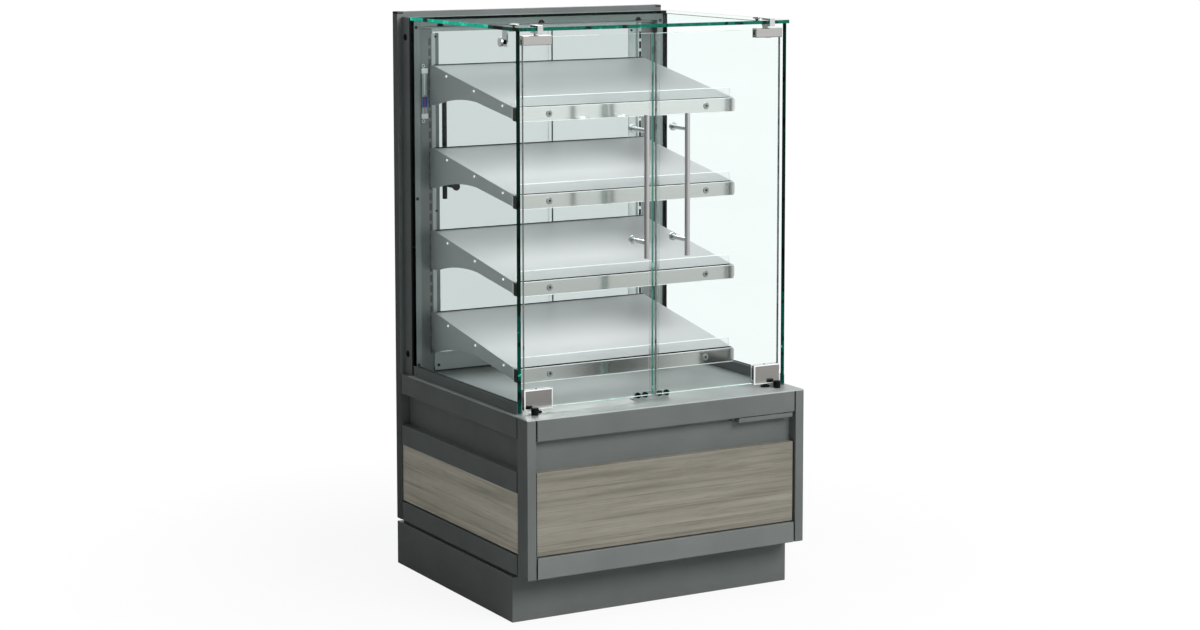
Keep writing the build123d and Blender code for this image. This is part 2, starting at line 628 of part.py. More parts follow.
def back_panel():
    """Low panel across the rear of the deck."""
    edge = -at(UPRIGHT_EDGE + BACK_PANEL_END_GAP)
    sheet = block((-edge, edge), (BACK_PANEL_FRONT, BACK_PANEL_FRONT + SHEET),
                  (BACK_PANEL_BOTTOM, BACK_PANEL_TOP))
    foot = block((-edge, edge), (BACK_PANEL_FRONT, PORTAL_FRONT),
                 (BACK_PANEL_BOTTOM, BACK_PANEL_BOTTOM + SHEET))
    return sheet + foot


def track(base, direction):
    """Two-groove track across the rear opening."""
    edge = HALF - PORTAL_POST
    floor = sorted((base, base + direction * TRACK_FLOOR))
    ribs = sorted((base, base + direction * TRACK_RIB))
    part = block((-edge, edge), (TRACK_FRONT, TRACK_BACK), floor)
    fixed = (FIXED_PANE_FRONT, FIXED_PANE_FRONT + GLASS)
    sliding = (SLIDING_PANE_FRONT - SIT, SLIDING_PANE_BACK + SIT)
    for ys in ((FIXED_PANE_FRONT - SHEET, fixed[0]), (fixed[1], sliding[0]), (sliding[1], TRACK_BACK)):
        part += block((-edge, edge), ys, ribs)
    return part


def rear_tracks():
    """Lower track on the crossbar, notched for the uprights, and upper track under the beam."""
    notch = block((at(INNER_SIDE) - CUT, at(UPRIGHT_EDGE) + RUN),
                  (TRACK_FRONT - CUT, UPRIGHT_FACE + SHEET + PAD),
                  (TRACK_BASE - CUT, TRACK_BASE + TRACK_FLOOR + CUT))
    lower = track(TRACK_BASE, 1) - notch - right(notch)
    return Compound(children=[lower, track(PORTAL_BEAM_BOTTOM, -1)])


def rear_fixed_glass():
    """Fixed rear pane on the right."""
    return block((FIXED_PANE_REACH, -at(PANE_OUTER_EDGE)), (FIXED_PANE_FRONT, FIXED_PANE_FRONT + GLASS),
                 (PANE_BOTTOM, PANE_TOP))


def bar_handle(x, middle, face, outward):
    """Round bar on two standoffs, bolted through a pane. outward is -1 to the front, 1 to the rear."""
    bar_y = face + outward * BAR_REACH
    handle = rod_z(x, bar_y, BAR_R, (middle - BAR_LENGTH / 2, middle + BAR_LENGTH / 2))
    back = face - outward * GLASS
    for side in (-1, 1):
        z = middle + side * STANDOFF_PITCH / 2
        handle += rod_y(x, z, STANDOFF_R, sorted((bar_y, back)))
        handle += rod_y(x, z, WASHER_R, sorted((back, back - outward * WASHER)))
    return handle


def pane_holes(x, middle, face, outward):
    """Holes for the two standoffs of a bar handle."""
    ys = sorted((face + outward, face - outward * (GLASS + CUT)))
    holes = [rod_y(x, middle + side * STANDOFF_PITCH / 2, STANDOFF_HOLE_R, ys) for side in (-1, 1)]
    return holes[0] + holes[1]


def rear_door_glass():
    """Sliding rear pane on the left."""
    pane = block((at(PANE_OUTER_EDGE), SLIDING_PANE_REACH), (SLIDING_PANE_FRONT, SLIDING_PANE_BACK),
                 (PANE_BOTTOM + SIT, PANE_TOP))
    return pane - pane_holes(at(REAR_BAR_PLACE), REAR_BAR_MIDDLE, SLIDING_PANE_BACK, 1)


def rear_handle():
    """Bar handle of the sliding pane."""
    return bar_handle(at(REAR_BAR_PLACE), REAR_BAR_MIDDLE, SLIDING_PANE_BACK, 1)


# Service side
def service_panel():
    """Folded panel in the lower opening of the portal, with vents and two control holes."""
    edge = HALF - PORTAL_POST
    zs = (PORTAL_FOOT_TOP, PORTAL_CROSSBAR[0])
    panel = block((-edge, edge), (PANEL_FACE - PANEL_EDGE, PANEL_FACE), zs)
    panel -= block((-edge + SHEET, edge - SHEET), (PANEL_FACE - PANEL_EDGE - CUT, PANEL_FACE - SHEET),
                   (zs[0] + SHEET, zs[1] - SHEET))
    cut = (PANEL_FACE - SHEET - CUT, PANEL_FACE + CUT)
    for inset in VENT_INSETS:
        middle = inset - HALF
        for row in range(VENT_COUNT):
            low = VENT_BOTTOM + row * VENT_PITCH
            panel -= block((middle - VENT[0] / 2, middle + VENT[0] / 2), cut, (low, low + VENT[1]))
    panel -= rod_y(KNOB_PLACE[0], KNOB_PLACE[1], KNOB_SHAFT_R + PIN_CLEARANCE, cut)
    half_x = SWITCH_HALF + SWITCH_CLEARANCE
    half_z = SWITCH_R + SWITCH_CLEARANCE
    panel -= block((SWITCH_PLACE[0] - half_x, SWITCH_PLACE[0] + half_x), cut,
                   (SWITCH_PLACE[1] - half_z, SWITCH_PLACE[1] + half_z))
    return panel


def control_box():
    """Box behind the service panel for the thermostat and the wiring."""
    ys = (PANEL_FACE - SHEET - CONTROL_DEPTH, PANEL_FACE - SHEET)
    shell = block(CONTROL_BOX, ys, CONTROL_BAND)
    room = block((CONTROL_BOX[0] + SHEET, CONTROL_BOX[1] - SHEET), (ys[0] + SHEET, ys[1] + CUT),
                 (CONTROL_BAND[0] + SHEET, CONTROL_BAND[1] - SHEET))
    return shell - room


def thermostat_knob():
    """Fluted knob on its shaft."""
    x, z = KNOB_PLACE
    knob = rod_y(x, z, KNOB_R, (PANEL_FACE + RUN, PANEL_FACE + RUN + KNOB_HEIGHT))
    for flute in range(KNOB_FLUTES):
        turn = Pos(x, 0, z) * Rot(0, flute * 360 / KNOB_FLUTES, 0) * Pos(-x, 0, -z)
        knob -= turn * rod_y(x + KNOB_R + KNOB_FLUTE_R / 3, z, KNOB_FLUTE_R,
                             (PANEL_FACE + RUN + SHEET, PANEL_FACE + KNOB_HEIGHT + CUT))
    return knob + rod_y(x, z, KNOB_SHAFT_R, (PANEL_FACE - KNOB_SHAFT, PANEL_FACE + RUN))


def power_switch():
    """Rocker on a cross axis, round at the back, with one half pressed level with the panel."""
    rocker = rod_x(0, 0, SWITCH_R, (-SWITCH_HALF, SWITCH_HALF))
    for side in (-1, 1):
        waste = block((-SWITCH_HALF - CUT, SWITCH_HALF + CUT), (SWITCH_FACE, 3 * SWITCH_R),
                      sorted((0, side * 3 * SWITCH_R)))
        rocker -= Rot(-side * SWITCH_TILT, 0, 0) * waste
    return Pos(SWITCH_PLACE[0], PANEL_FACE - SWITCH_DEPTH, SWITCH_PLACE[1]) * Rot(SWITCH_TILT, 0, 0) * rocker


# Front doors
def door_glass():
    """Left door pane, notched at both hinge patches and drilled for its handle."""
    pane = block((at(DOOR_EDGE), -DOOR_GAP), (DOOR_FACE, DOOR_BACK), (DOOR_BOTTOM, DOOR_TOP))
    lower = (DOOR_BOTTOM - CUT, BOTTOM_PATCH[0] + PATCH_BAR)
    upper = (TOP_PATCH[1] - PATCH_BAR, DOOR_TOP + CUT)
    for band in (lower, upper):
        pane -= block((at(DOOR_EDGE) - CUT, at(PATCH_RIGHT)), (DOOR_FACE - CUT, DOOR_BACK + CUT), band)
    return pane - pane_holes(-DOOR_BAR_INSET, DOOR_BAR_MIDDLE, DOOR_FACE, -1)


def patch(band, bar_low):
    """Two bevelled cover plates and the bar that joins them, bored for the hinge pin."""
    xs = (at(PATCH_LEFT), at(PATCH_RIGHT))
    body = block(xs, (DOOR_FACE - PATCH_PLATE, DOOR_BACK + PATCH_PLATE), band)
    faces = body.edges().group_by(Axis.Y)
    body = chamfer(faces[0] + faces[-1], PATCH_BEVEL)
    slot = (band[0] + PATCH_BAR, band[1] + CUT) if bar_low else (band[0] - CUT, band[1] - PATCH_BAR)
    body -= block((xs[0] - CUT, xs[1] + CUT), (DOOR_FACE, DOOR_BACK), slot)
    return body - rod_z(at(HINGE_PLACE), HINGE_DEPTH, PIN_R + PIN_CLEARANCE, (band[0] - CUT, band[1] + CUT))


def door_patches():
    """Lower and upper hinge patch of the left door."""
    return Compound(children=[patch(BOTTOM_PATCH, True), patch(TOP_PATCH, False)])


def door_seal():
    """Clear strip that grips the closing edge of the left door."""
    inner = -DOOR_GAP - SEAL_GRIP
    ys = (DOOR_FACE - SEAL_WALL, DOOR_BACK + SEAL_WALL)
    strip = block((inner, -SEAL_GAP), ys, (DOOR_BOTTOM, DOOR_TOP))
    grip = (DOOR_BOTTOM - CUT, DOOR_TOP + CUT)
    return strip - block((inner - CUT, -DOOR_GAP), (DOOR_FACE, DOOR_BACK), grip)


def door_handle():
    """Bar handle of the left door."""
    return bar_handle(-DOOR_BAR_INSET, DOOR_BAR_MIDDLE, DOOR_FACE, -1)


def top_clamp():
    """Clamp on the front edge of the top glass, with the upper hinge pin."""
    xs = (at(HINGE_PLACE) - CLAMP_WIDTH / 2, at(HINGE_PLACE) + CLAMP_WIDTH / 2)
    body = block(xs, (CLAMP_FRONT, CLAMP_BACK), (CLAMP_BOTTOM, CLAMP_TOP))
    body -= block((xs[0] - CUT, xs[1] + CUT), (TOP_GLASS_FRONT - SIT, CLAMP_BACK + CUT),
                  (GLASS_BOX_TOP - PAD, GLASS_BOX_TOP + GLASS + PAD))
    pin = rod_z(at(HINGE_PLACE), HINGE_DEPTH, PIN_R, (TOP_PATCH[1] - PATCH_BAR + RUN, CLAMP_BOTTOM))
    return body + pin


def bottom_pivot():
    """Foot on the sill with the lower hinge pin."""
    foot = rod_z(at(HINGE_PLACE), HINGE_DEPTH, PIVOT_FOOT_R, (DECK_TOP, DECK_TOP + PIVOT_FOOT))
    pin = rod_z(at(HINGE_PLACE), HINGE_DEPTH, PIN_R, (DECK_TOP, BOTTOM_PATCH[0] + PATCH_BAR - RUN))
    return foot + pin


def door_stop():
    """Rubber buffer on the sill that ends the swing of the left door."""
    buffer = rod_z(at(STOP_PLACE), DOOR_FACE - STOP_LEAD, STOP_R, (DECK_TOP, DECK_TOP + STOP_HEIGHT))
    return fillet(buffer.edges().group_by(Axis.Z)[-1], SHEET)


def catch_bracket():
    """Angle on the sill behind the meeting edges, with four round buffers that the panes close on."""
    plate = block((-CATCH_HALF, CATCH_HALF), (CATCH_FACE, CATCH_FACE + SHEET), (DECK_TOP, CATCH_TOP))
    foot = block((-CATCH_HALF, CATCH_HALF), (CATCH_FACE, CATCH_FACE + CATCH_FOOT),
                 (DECK_TOP, DECK_TOP + SHEET))
    bracket = plate + foot
    for place in BUFFER_PLACES:
        for side in (-1, 1):
            bracket += rod_y(side * place, BUFFER_HEIGHT, BUFFER_R, (DOOR_BACK + RUN, CATCH_FACE))
    return bracket


# Shelves
def drop(level):
    """Height of a shelf level below the top one, which is level 0."""
    return -level * SHELF_PITCH


def profile_x(points, xs):
    """Prism across the case from a closed outline of depths and heights."""
    wire = Polyline(*[(xs[0], y, z) for y, z in points], close=True)
    return extrude(make_face(wire), amount=xs[1] - xs[0], dir=(1, 0, 0))


def bracket_plate():
    """Shelf bracket: sloping top, arched underside and two hooks."""
    x0 = at(BRACKET_PLACE) - SHEET / 2
    heel, crown, spring = [(x0, UPRIGHT_FACE - lead, SHELF_FRONT_TOP + rise)
                           for lead, rise in (BRACKET_HEEL, BRACKET_ARCH, BRACKET_SPRING)]
    arch = ThreePointArc(heel, crown, spring)
    rest = Polyline(spring, (x0, BRACKET_NOSE, SHELF_FRONT_TOP - BRACKET_NOSE_DROP),
                    (x0, BRACKET_NOSE, shelf_top(BRACKET_NOSE)), (x0, SHELF_BACK, SHELF_BACK_TOP),
                    (x0, BRACKET_BACK, SHELF_BACK_TOP), (x0, BRACKET_BACK, heel[2]), heel)
    plate = extrude(make_face(arch + rest), amount=SHEET, dir=(1, 0, 0))
    for index in HOOK_SLOTS:
        low = slot_bottom(index)
        xs = (x0, x0 + SHEET)
        plate += block(xs, (BRACKET_BACK - CUT, UPRIGHT_FACE + 2 * SHEET + SIT), (low, low + HOOK_HEIGHT))
        plate += block(xs, (UPRIGHT_FACE + SHEET + SIT, UPRIGHT_FACE + 2 * SHEET + SIT),
                       (low - HOOK_DROP, low + HOOK_HEIGHT))
    return plate


def shelf_top(depth):
    """Height of the top shelf's surface at a depth."""
    slope = (SHELF_BACK_TOP - SHELF_FRONT_TOP) / (SHELF_BACK - SHELF_FRONT)
    return SHELF_FRONT_TOP + slope * (depth - SHELF_FRONT)


def sloped(ys, depth_below, xs):
    """Slab under the shelf's surface, between two distances below it."""
    top, bottom = depth_below
    points = ((ys[0], shelf_top(ys[0]) - top), (ys[1], shelf_top(ys[1]) - top),
              (ys[1], shelf_top(ys[1]) - bottom), (ys[0], shelf_top(ys[0]) - bottom))
    return profile_x(points, xs)


def shelf():
    """Sloping shelf sheet with down-turned edges, riveted between its two brackets."""
    edge = -at(BRACKET_PLACE) - SHEET / 2
    tray_part = sloped((SHELF_FRONT, SHELF_BACK), (0, SHELF_SKIRT), (-edge, edge))
    tray_part -= sloped((SHELF_FRONT + THIN_SHEET, SHELF_BACK - THIN_SHEET), (THIN_SHEET, SHELF_SKIRT + CUT),
                        (-edge + THIN_SHEET, edge - THIN_SHEET))
    lip = block((-edge, edge), (SHELF_BACK - THIN_SHEET, SHELF_BACK),
                (SHELF_BACK_TOP - SHEET, SHELF_BACK_TOP + SHELF_LIP))
    plate = bracket_plate()
    return tray_part + lip + plate + right(plate)


def shelf_heater():
    """Flat heater pack in the hollow under the shelf sheet."""
    inset = SHELF_HEATER_INSET
    edge = -at(BRACKET_PLACE) - SHEET / 2 - inset
    return sloped((SHELF_FRONT + inset, SHELF_BACK - inset), (THIN_SHEET, THIN_SHEET + SHELF_HEATER),
                  (-edge, edge))


def price_rail():
    """Folded ticket rail across the shelf front, open at the back, with a lug at each end."""
    edge = -at(RAIL_END)
    rail = block((-edge, edge), (RAIL_FACE, RAIL_BACK), RAIL_BAND)
    rail -= block((-edge - CUT, edge + CUT), (RAIL_FACE + THIN_SHEET, RAIL_BACK + CUT),
                  (RAIL_BAND[0] + THIN_SHEET, RAIL_BAND[1] - THIN_SHEET))
    band = (RAIL_BAND[0] + LUG, RAIL_BAND[1] - LUG)
    outer = at(BRACKET_PLACE) - SHEET / 2
    lug = block((outer, -edge), (RAIL_FACE + LUG, SHELF_FRONT - SIT), band)
    lug += block((outer, outer + SHEET - SIT), (SHELF_FRONT - SIT, BRACKET_NOSE), band)
    return rail + lug + right(lug)


def shelf_stop():
    """Clear upstand between the price rail and the shelf, with rounded top corners."""
    edge = -at(RAIL_END)
    sheet = block((-edge, edge), (RAIL_BACK, RAIL_BACK + STOP_SHEET), (RAIL_BAND[0], STOP_TOP))
    corners = sheet.edges().filter_by(Axis.Y).group_by(Axis.Z)[-1]
    return fillet(corners, STOP_CORNER)


def every_level(piece):
    """Copies of a piece of the top shelf at every level."""
    return Compound(children=[Pos(0, 0, drop(level)) * piece for level in range(SHELF_COUNT)])


def thermometer():
    """Flat thermometer on the left upright, with a hanging eye at each end."""
    xs = (at(THERMO_SPAN[0]), at(THERMO_SPAN[1]))
    ys = (UPRIGHT_FACE - THERMO_DEPTH, UPRIGHT_FACE)
    body = block(xs, ys, THERMO_BAND)
    body = fillet(body.edges().filter_by(Axis.Y), SHEET)
    for z in (THERMO_BAND[0] - THERMO_EYE_RISE, THERMO_BAND[1] + THERMO_EYE_RISE):
        eye = rod_y(sum(xs) / 2, z, THERMO_EYE_R, ys)
        neck = block((sum(xs) / 2 - SHEET, sum(xs) / 2 + SHEET), ys, sorted((z, (sum(THERMO_BAND) / 2))))
        body += eye + neck
    return body


def save(name, part):
    """Move a piece into the part's frame and write it."""
    os.makedirs("parts", exist_ok=True)
    export_step(Pos(0, -CASE_DEPTH / 2, 0) * part, f"parts/{name}.step")


SINGLE = {
    "plinth": plinth, "base_pan": base_pan, "fascia": fascia, "front_recess": front_recess,
    "front_wood": front_wood, "front_rail": front_rail, "deck": deck, "deck_heater": deck_heater,
    "tray": tray, "tray_guide": tray_guide, "top_glass": top_glass, "portal": portal, "gasket": gasket,
    "inner_beam": inner_beam, "back_panel": back_panel, "rear_tracks": rear_tracks,
    "rear_fixed_glass": rear_fixed_glass, "rear_door_glass": rear_door_glass, "rear_handle": rear_handle,
    "service_panel": service_panel, "control_box": control_box, "thermostat_knob": thermostat_knob,
    "power_switch": power_switch, "catch_bracket": catch_bracket, "thermometer": thermometer,
}

SIDED = {
    "front_post": front_post, "side_frame": side_frame, "side_wood": side_wood, "side_glass": side_glass,
    "upright": upright, "door_glass": door_glass, "door_patches": door_patches, "door_seal": door_seal,
    "door_handle": door_handle,
}

JOINED_SIDES = {
    "glass_channels": glass_channel, "glass_connectors": glass_connector, "top_clamps": top_clamp,
    "bottom_pivots": bottom_pivot, "door_stops": door_stop,
}


def main():
    """Write every piece."""
    for name, make in SINGLE.items():
        save(name, make())
    for name, make in SIDED.items():
        part = make()
        save(f"{name}_l", part)
        save(f"{name}_r", right(part))
    for name, make in JOINED_SIDES.items():
        part = make()
        save(name, Compound(children=[part, right(part)]))
    save("column_l", column() + sliding_side_lip())
    save("column_r", right(column()))
    top_shelf = shelf()
    top_rail = price_rail()
    for level in range(SHELF_COUNT):
        save(f"shelf_{level + 1}", Pos(0, 0, drop(level)) * top_shelf)
        save(f"price_rail_{level + 1}", Pos(0, 0, drop(level)) * top_rail)
    save("shelf_stops", every_level(shelf_stop()))
    save("shelf_heaters", every_level(shelf_heater()))


main()
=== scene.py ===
"""Heated self-service display case, dressed for its pictures, in metres in the part's frame."""

import json
import logging
import math
from dataclasses import dataclass, field
from enum import Enum
from typing import Callable, Iterable, Sequence

import bmesh
import bpy
from mathutils import Matrix, Vector

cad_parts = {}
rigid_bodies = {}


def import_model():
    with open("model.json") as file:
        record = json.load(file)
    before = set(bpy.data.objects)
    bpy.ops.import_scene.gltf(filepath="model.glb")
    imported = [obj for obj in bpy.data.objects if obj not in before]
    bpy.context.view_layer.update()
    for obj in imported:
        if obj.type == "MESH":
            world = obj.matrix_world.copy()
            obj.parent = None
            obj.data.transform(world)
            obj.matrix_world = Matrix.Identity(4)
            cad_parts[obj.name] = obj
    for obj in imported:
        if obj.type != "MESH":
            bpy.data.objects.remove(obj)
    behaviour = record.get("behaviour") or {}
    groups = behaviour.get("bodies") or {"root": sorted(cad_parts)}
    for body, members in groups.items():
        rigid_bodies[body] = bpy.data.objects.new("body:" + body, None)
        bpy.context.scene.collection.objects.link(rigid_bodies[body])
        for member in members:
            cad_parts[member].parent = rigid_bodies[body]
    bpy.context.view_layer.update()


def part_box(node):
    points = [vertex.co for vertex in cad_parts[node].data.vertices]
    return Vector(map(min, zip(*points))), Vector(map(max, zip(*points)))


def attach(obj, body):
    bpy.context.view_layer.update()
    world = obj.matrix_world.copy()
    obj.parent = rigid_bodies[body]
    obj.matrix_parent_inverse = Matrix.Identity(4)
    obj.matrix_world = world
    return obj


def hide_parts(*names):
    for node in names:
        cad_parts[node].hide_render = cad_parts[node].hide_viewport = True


LOG = logging.getLogger("display_case")

Colour = tuple[float, float, float]
Span = tuple[float, float]
Stops = Sequence[tuple[float, Colour]]
Place = Sequence[float]
Socket = bpy.types.NodeSocket
Solid = bmesh.types.BMesh

CASE = "case"
SIDES = ((-1, "l"), (1, "r"))
# Share of a face's normal along an axis, for a face square to it and for one that leans to it
SQUARE, LEANING = 0.9, 0.6
# Degrees between faces: an edge to round, an edge that stays sharp, and facets of one flat face
ROUNDED, SHARP, FLAT = 30.0, 32.0, 0.4
# Distances in metres under which points are one, and under which a point lies on a cut
MERGED, ON_CUT = 2e-6, 1e-7


# Places read from the frame
def low(node: str) -> Vector:
    """Lowest corner of a CAD node."""
    return Vector(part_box(node)[0])


def high(node: str) -> Vector:
    """Highest corner of a CAD node."""
    return Vector(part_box(node)[1])


def outermost(node: str, side: int) -> float:
    """Outermost x of a CAD node.

    Args:
        node: The CAD node.
        side: -1 on the left, 1 on the right.

    Returns:
        The place.
    """
    return low(node).x if side < 0 else high(node).x


class Facing(Enum):
    """Directions that a small piece can face."""

    FRONT = (0.0, -1.0, 0.0)
    REAR = (0.0, 1.0, 0.0)
    LEFT = (-1.0, 0.0, 0.0)
    RIGHT = (1.0, 0.0, 0.0)

    @property
    def turn(self) -> Matrix:
        """Rotation that takes +Z to this direction."""
        return Vector(self.value).to_track_quat("Z", "Y").to_matrix().to_4x4()

    @classmethod
    def outward(cls, side: int) -> "Facing":
        """Direction away from the middle.

        Args:
            side: -1 on the left, 1 on the right.

        Returns:
            Left or right.
        """
        return cls.LEFT if side < 0 else cls.RIGHT


# Node trees
class Tree:
    """Writer of a node tree."""

    def __init__(self, tree: bpy.types.NodeTree) -> None:
        """Start with an empty tree.

        Args:
            tree: The tree to write.
        """
        self.tree = tree
        tree.nodes.clear()

    def node(self, kind: str, **settings: object) -> bpy.types.Node:
        """Add a node.

        Args:
            kind: The node's type name.
            settings: Node properties, or inputs under their names with spaces as underscores, or by number
                as at0, at1 and at2. A socket, or each of a list of them, is joined to its input.

        Returns:
            The new node.
        """
        made = self.tree.nodes.new(kind)
        for key, value in settings.items():
            name = int(key[2:]) if key[:2] == "at" and key[2:].isdigit() else key.replace("_", " ")
            if isinstance(name, str) and name not in made.inputs:
                setattr(made, key, value)
                continue
            for one in value if isinstance(value, list) else [value]:
                if isinstance(one, Socket):
                    self.tree.links.new(one, made.inputs[name])
                else:
                    made.inputs[name].default_value = one
        return made

    def put(self, kind: str, output: str | int = 0, **settings: object) -> Socket:
        """Add a node for one of its outputs.

        Args:
            kind: The node's type name.
            output: Name or number of the output.
            settings: As for node.

        Returns:
            The output socket.
        """
        return self.node(kind, **settings).outputs[output]

    def math(self, operation: str, *values: object) -> Socket:
        """Sum on numbers or sockets.

        Args:
            operation: What is done.
            values: The inputs in their order.

        Returns:
            The value socket.
        """
        inputs = {f"at{number}": value for number, value in enumerate(values)}
        return self.put("ShaderNodeMath", operation=operation, **inputs)

    def along(self, place: Socket, direction: Colour) -> Socket:
        """How far a place lies along a direction.

        Args:
            place: The vector socket.
            direction: The direction.

        Returns:
            The value socket.
        """
        return self.put("ShaderNodeVectorMath", "Value", operation="DOT_PRODUCT", at0=place, at1=direction)

    def spread(self, value: Socket, to: Span, source: Span = (0.0, 1.0)) -> Socket:
        """A value moved from one range to another.

        Args:
            value: The value socket.
            to: The new lowest and highest value.
            source: The old ones.

        Returns:
            The value socket.
        """
        return self.put("ShaderNodeMapRange", Value=value, From_Min=source[0], From_Max=source[1],
                        To_Min=to[0], To_Max=to[1])

    def ramp(self, factor: Socket, stops: Stops) -> Socket:
        """Colour ramp.

        Args:
            factor: The value to colour.
            stops: Positions and colours.

        Returns:
            The colour socket.
        """
        made = self.node("ShaderNodeValToRGB", Fac=factor)
        elements = made.color_ramp.elements
        while len(elements) < len(stops):
            elements.new(0.5)
        for element, (position, colour) in zip(elements, stops):
            element.position = position
            element.color = (*colour, 1.0)
        return made.outputs["Color"]

    def blend(self, factor: Socket | float, first: Socket, second: Socket) -> Socket:
        """Mix of two shaders.

        Args:
            factor: Share of the second.
            first: The first shader.
            second: The second shader.

        Returns:
            The shader socket.
        """
        return self.put("ShaderNodeMixShader", at0=factor, at1=first, at2=second)

    def by_ray(self, plain: Socket, mirrored: Socket, direct: Socket) -> Socket:
        """Shader that differs with the ray that meets it.

        Args:
            plain: For diffuse light.
            mirrored: For reflections.
            direct: For the eye, also through clear material.

        Returns:
            The shader socket.
        """
        path = self.node("ShaderNodeLightPath").outputs
        eye = self.math("MAXIMUM", path["Is Camera Ray"], path["Is Transmission Ray"])
        return self.blend(eye, self.blend(path["Is Glossy Ray"], plain, mirrored), direct)


@dataclass(frozen=True)
class Grain:
    """Noise on object coordinates."""

    scale: float
    detail: float = 2.0
    roughness: float = 0.5
    stretch: Colour = (1.0, 1.0, 1.0)


class Paint(Tree):
    """Writer of a material."""

    ENDS = (0.3, 0.7)

    def __init__(self, name: str) -> None:
        """Start an empty material.

        Args:
            name: The material's name.
        """
        self.material = bpy.data.materials.new(name)
        self.material.use_nodes = True
        super().__init__(self.material.node_tree)

    def noise(self, grain: Grain) -> Socket:
        """Noise.

        Args:
            grain: Its kind.

        Returns:
            The factor socket.
        """
        place = self.put("ShaderNodeTexCoord", "Object")
        scaled = self.put("ShaderNodeMapping", Vector=place, Scale=grain.stretch)
        return self.put("ShaderNodeTexNoise", "Fac", Vector=scaled, Scale=grain.scale, Detail=grain.detail,
                        Roughness=grain.roughness)

    def mottle(self, noise: Socket, dark: Colour, light: Colour) -> Socket:
        """Soft clouds between two colours.

        Args:
            noise: Their noise.
            dark: The colour of its low parts.
            light: The colour of its high parts.

        Returns:
            The colour socket.
        """
        return self.ramp(noise, tuple(zip(self.ENDS, (dark, light))))

    def bump(self, height: Socket, strength: float, distance: float) -> Socket:
        """Bump from a height.

        Args:
            height: The height socket.
            strength: Share of the effect.
            distance: Depth in metres.

        Returns:
            The normal socket.
        """
        return self.put("ShaderNodeBump", Height=height, Strength=strength, Distance=distance)

    def surface(self, shader: Socket) -> bpy.types.Material:
        """Finish the material.

        Args:
            shader: What its surface shows.

        Returns:
            The material.
        """
        self.node("ShaderNodeOutputMaterial", Surface=shader)
        return self.material

    def principled(self, **settings: object) -> bpy.types.Material:
        """Finish the material with a principled shader.

        Args:
            settings: The shader's inputs.

        Returns:
            The material.
        """
        return self.surface(self.put("ShaderNodeBsdfPrincipled", **settings))


def tone(colour: Colour, share: float) -> Colour:
    """A colour made darker or lighter.

    Args:
        colour: The colour.
        share: What it is multiplied by.

    Returns:
        The new colour.
    """
    return tuple(share * part for part in colour)


# Finishes
@dataclass(frozen=True)
class PowderCoat:
    """Satin powder coat with a faint orange peel."""

    name: str
    colour: Colour
    rough: float = 0.42
    peel: float = 0.06
    metal: float = 0.25
    shine: float = 0.3
    tones: Span = (0.93, 1.06)
    smears: Span = (-0.05, 0.06)
    peel_depth: float = 0.0002
    cloud: Grain = Grain(9.0, 3.0)
    smear: Grain = Grain(26.0, 4.0)
    fine: Grain = Grain(700.0)

    def make(self) -> bpy.types.Material:
        """Build the material."""
        paint = Paint(self.name)
        dark, light = (tone(self.colour, share) for share in self.tones)
        roughs = tuple(self.rough + step for step in self.smears)
        return paint.principled(
            Metallic=self.metal, Specular_IOR_Level=self.shine,
            Base_Color=paint.mottle(paint.noise(self.cloud), dark, light),
            Normal=paint.bump(paint.noise(self.fine), self.peel, self.peel_depth),
            Roughness=paint.spread(paint.noise(self.smear), roughs))


@dataclass(frozen=True)
class OakLaminate:
    """Greige oak print with the grain lying level, in a matt embossed laminate."""

    name: str
    pale: Colour
    mid: Colour
    dark: Colour
    bands: Grain = Grain(1.6, 5.0, 0.62, (1.1, 1.1, 16.0))
    streaks: Grain = Grain(1.7, 7.0, 0.74, (0.9, 0.9, 105.0))
    pores: Grain = Grain(1.0, 3.0, 0.6, (22.0, 22.0, 900.0))
    stops: tuple[float, float, float] = (0.30, 0.47, 0.66)
    streak_tones: Stops = ((0.34, (0.46, 0.43, 0.39)), (0.47, (0.86, 0.85, 0.83)), (0.62, (1.0, 1.0, 1.0)))
    pore_tones: Stops = ((0.36, (0.62, 0.60, 0.57)), (0.46, (1.0, 1.0, 1.0)))
    shares: Span = (0.78, 0.45)
    emboss: Span = (0.18, 0.0004)
    roughs: Span = (0.42, 0.58)

    def make(self) -> bpy.types.Material:
        """Build the material."""
        paint = Paint(self.name)
        bands, streaks = paint.noise(self.bands), paint.noise(self.streaks)
        colour = paint.ramp(bands, tuple(zip(self.stops, (self.dark, self.mid, self.pale))))
        layers = ((streaks, self.streak_tones), (paint.noise(self.pores), self.pore_tones))
        for share, (noise, tones) in zip(self.shares, layers):
            colour = paint.put("ShaderNodeMix", "Result", data_type="RGBA", blend_type="MULTIPLY",
                               Factor=share, A=colour, B=paint.ramp(noise, tones))
        return paint.principled(Base_Color=colour, Normal=paint.bump(streaks, *self.emboss),
                                Roughness=paint.spread(bands, self.roughs))


@dataclass(frozen=True)
class Steel:
    """Bare steel, satin or polished, with marks drawn along one direction."""

    name: str
    colour: Colour
    rough: float
    grain: Colour = (4.0, 260.0, 260.0)
    depth: float = 0.05
    spread: float = 0.06
    metal: float = 1.0
    dark_share: float = 0.94
    mark_depth: float = 0.0001
    cloud: Grain = Grain(7.0, 3.0)

    def make(self) -> bpy.types.Material:
        """Build the material."""
        paint = Paint(self.name)
        lines = paint.noise(Grain(3.0, 4.0, 0.6, self.grain))
        roughs = (self.rough, self.rough + self.spread)
        return paint.principled(
            Metallic=self.metal,
            Base_Color=paint.mottle(lines, tone(self.colour, self.dark_share), self.colour),
            Roughness=paint.spread(paint.noise(self.cloud), roughs),
            Normal=paint.bump(lines, self.depth, self.mark_depth))


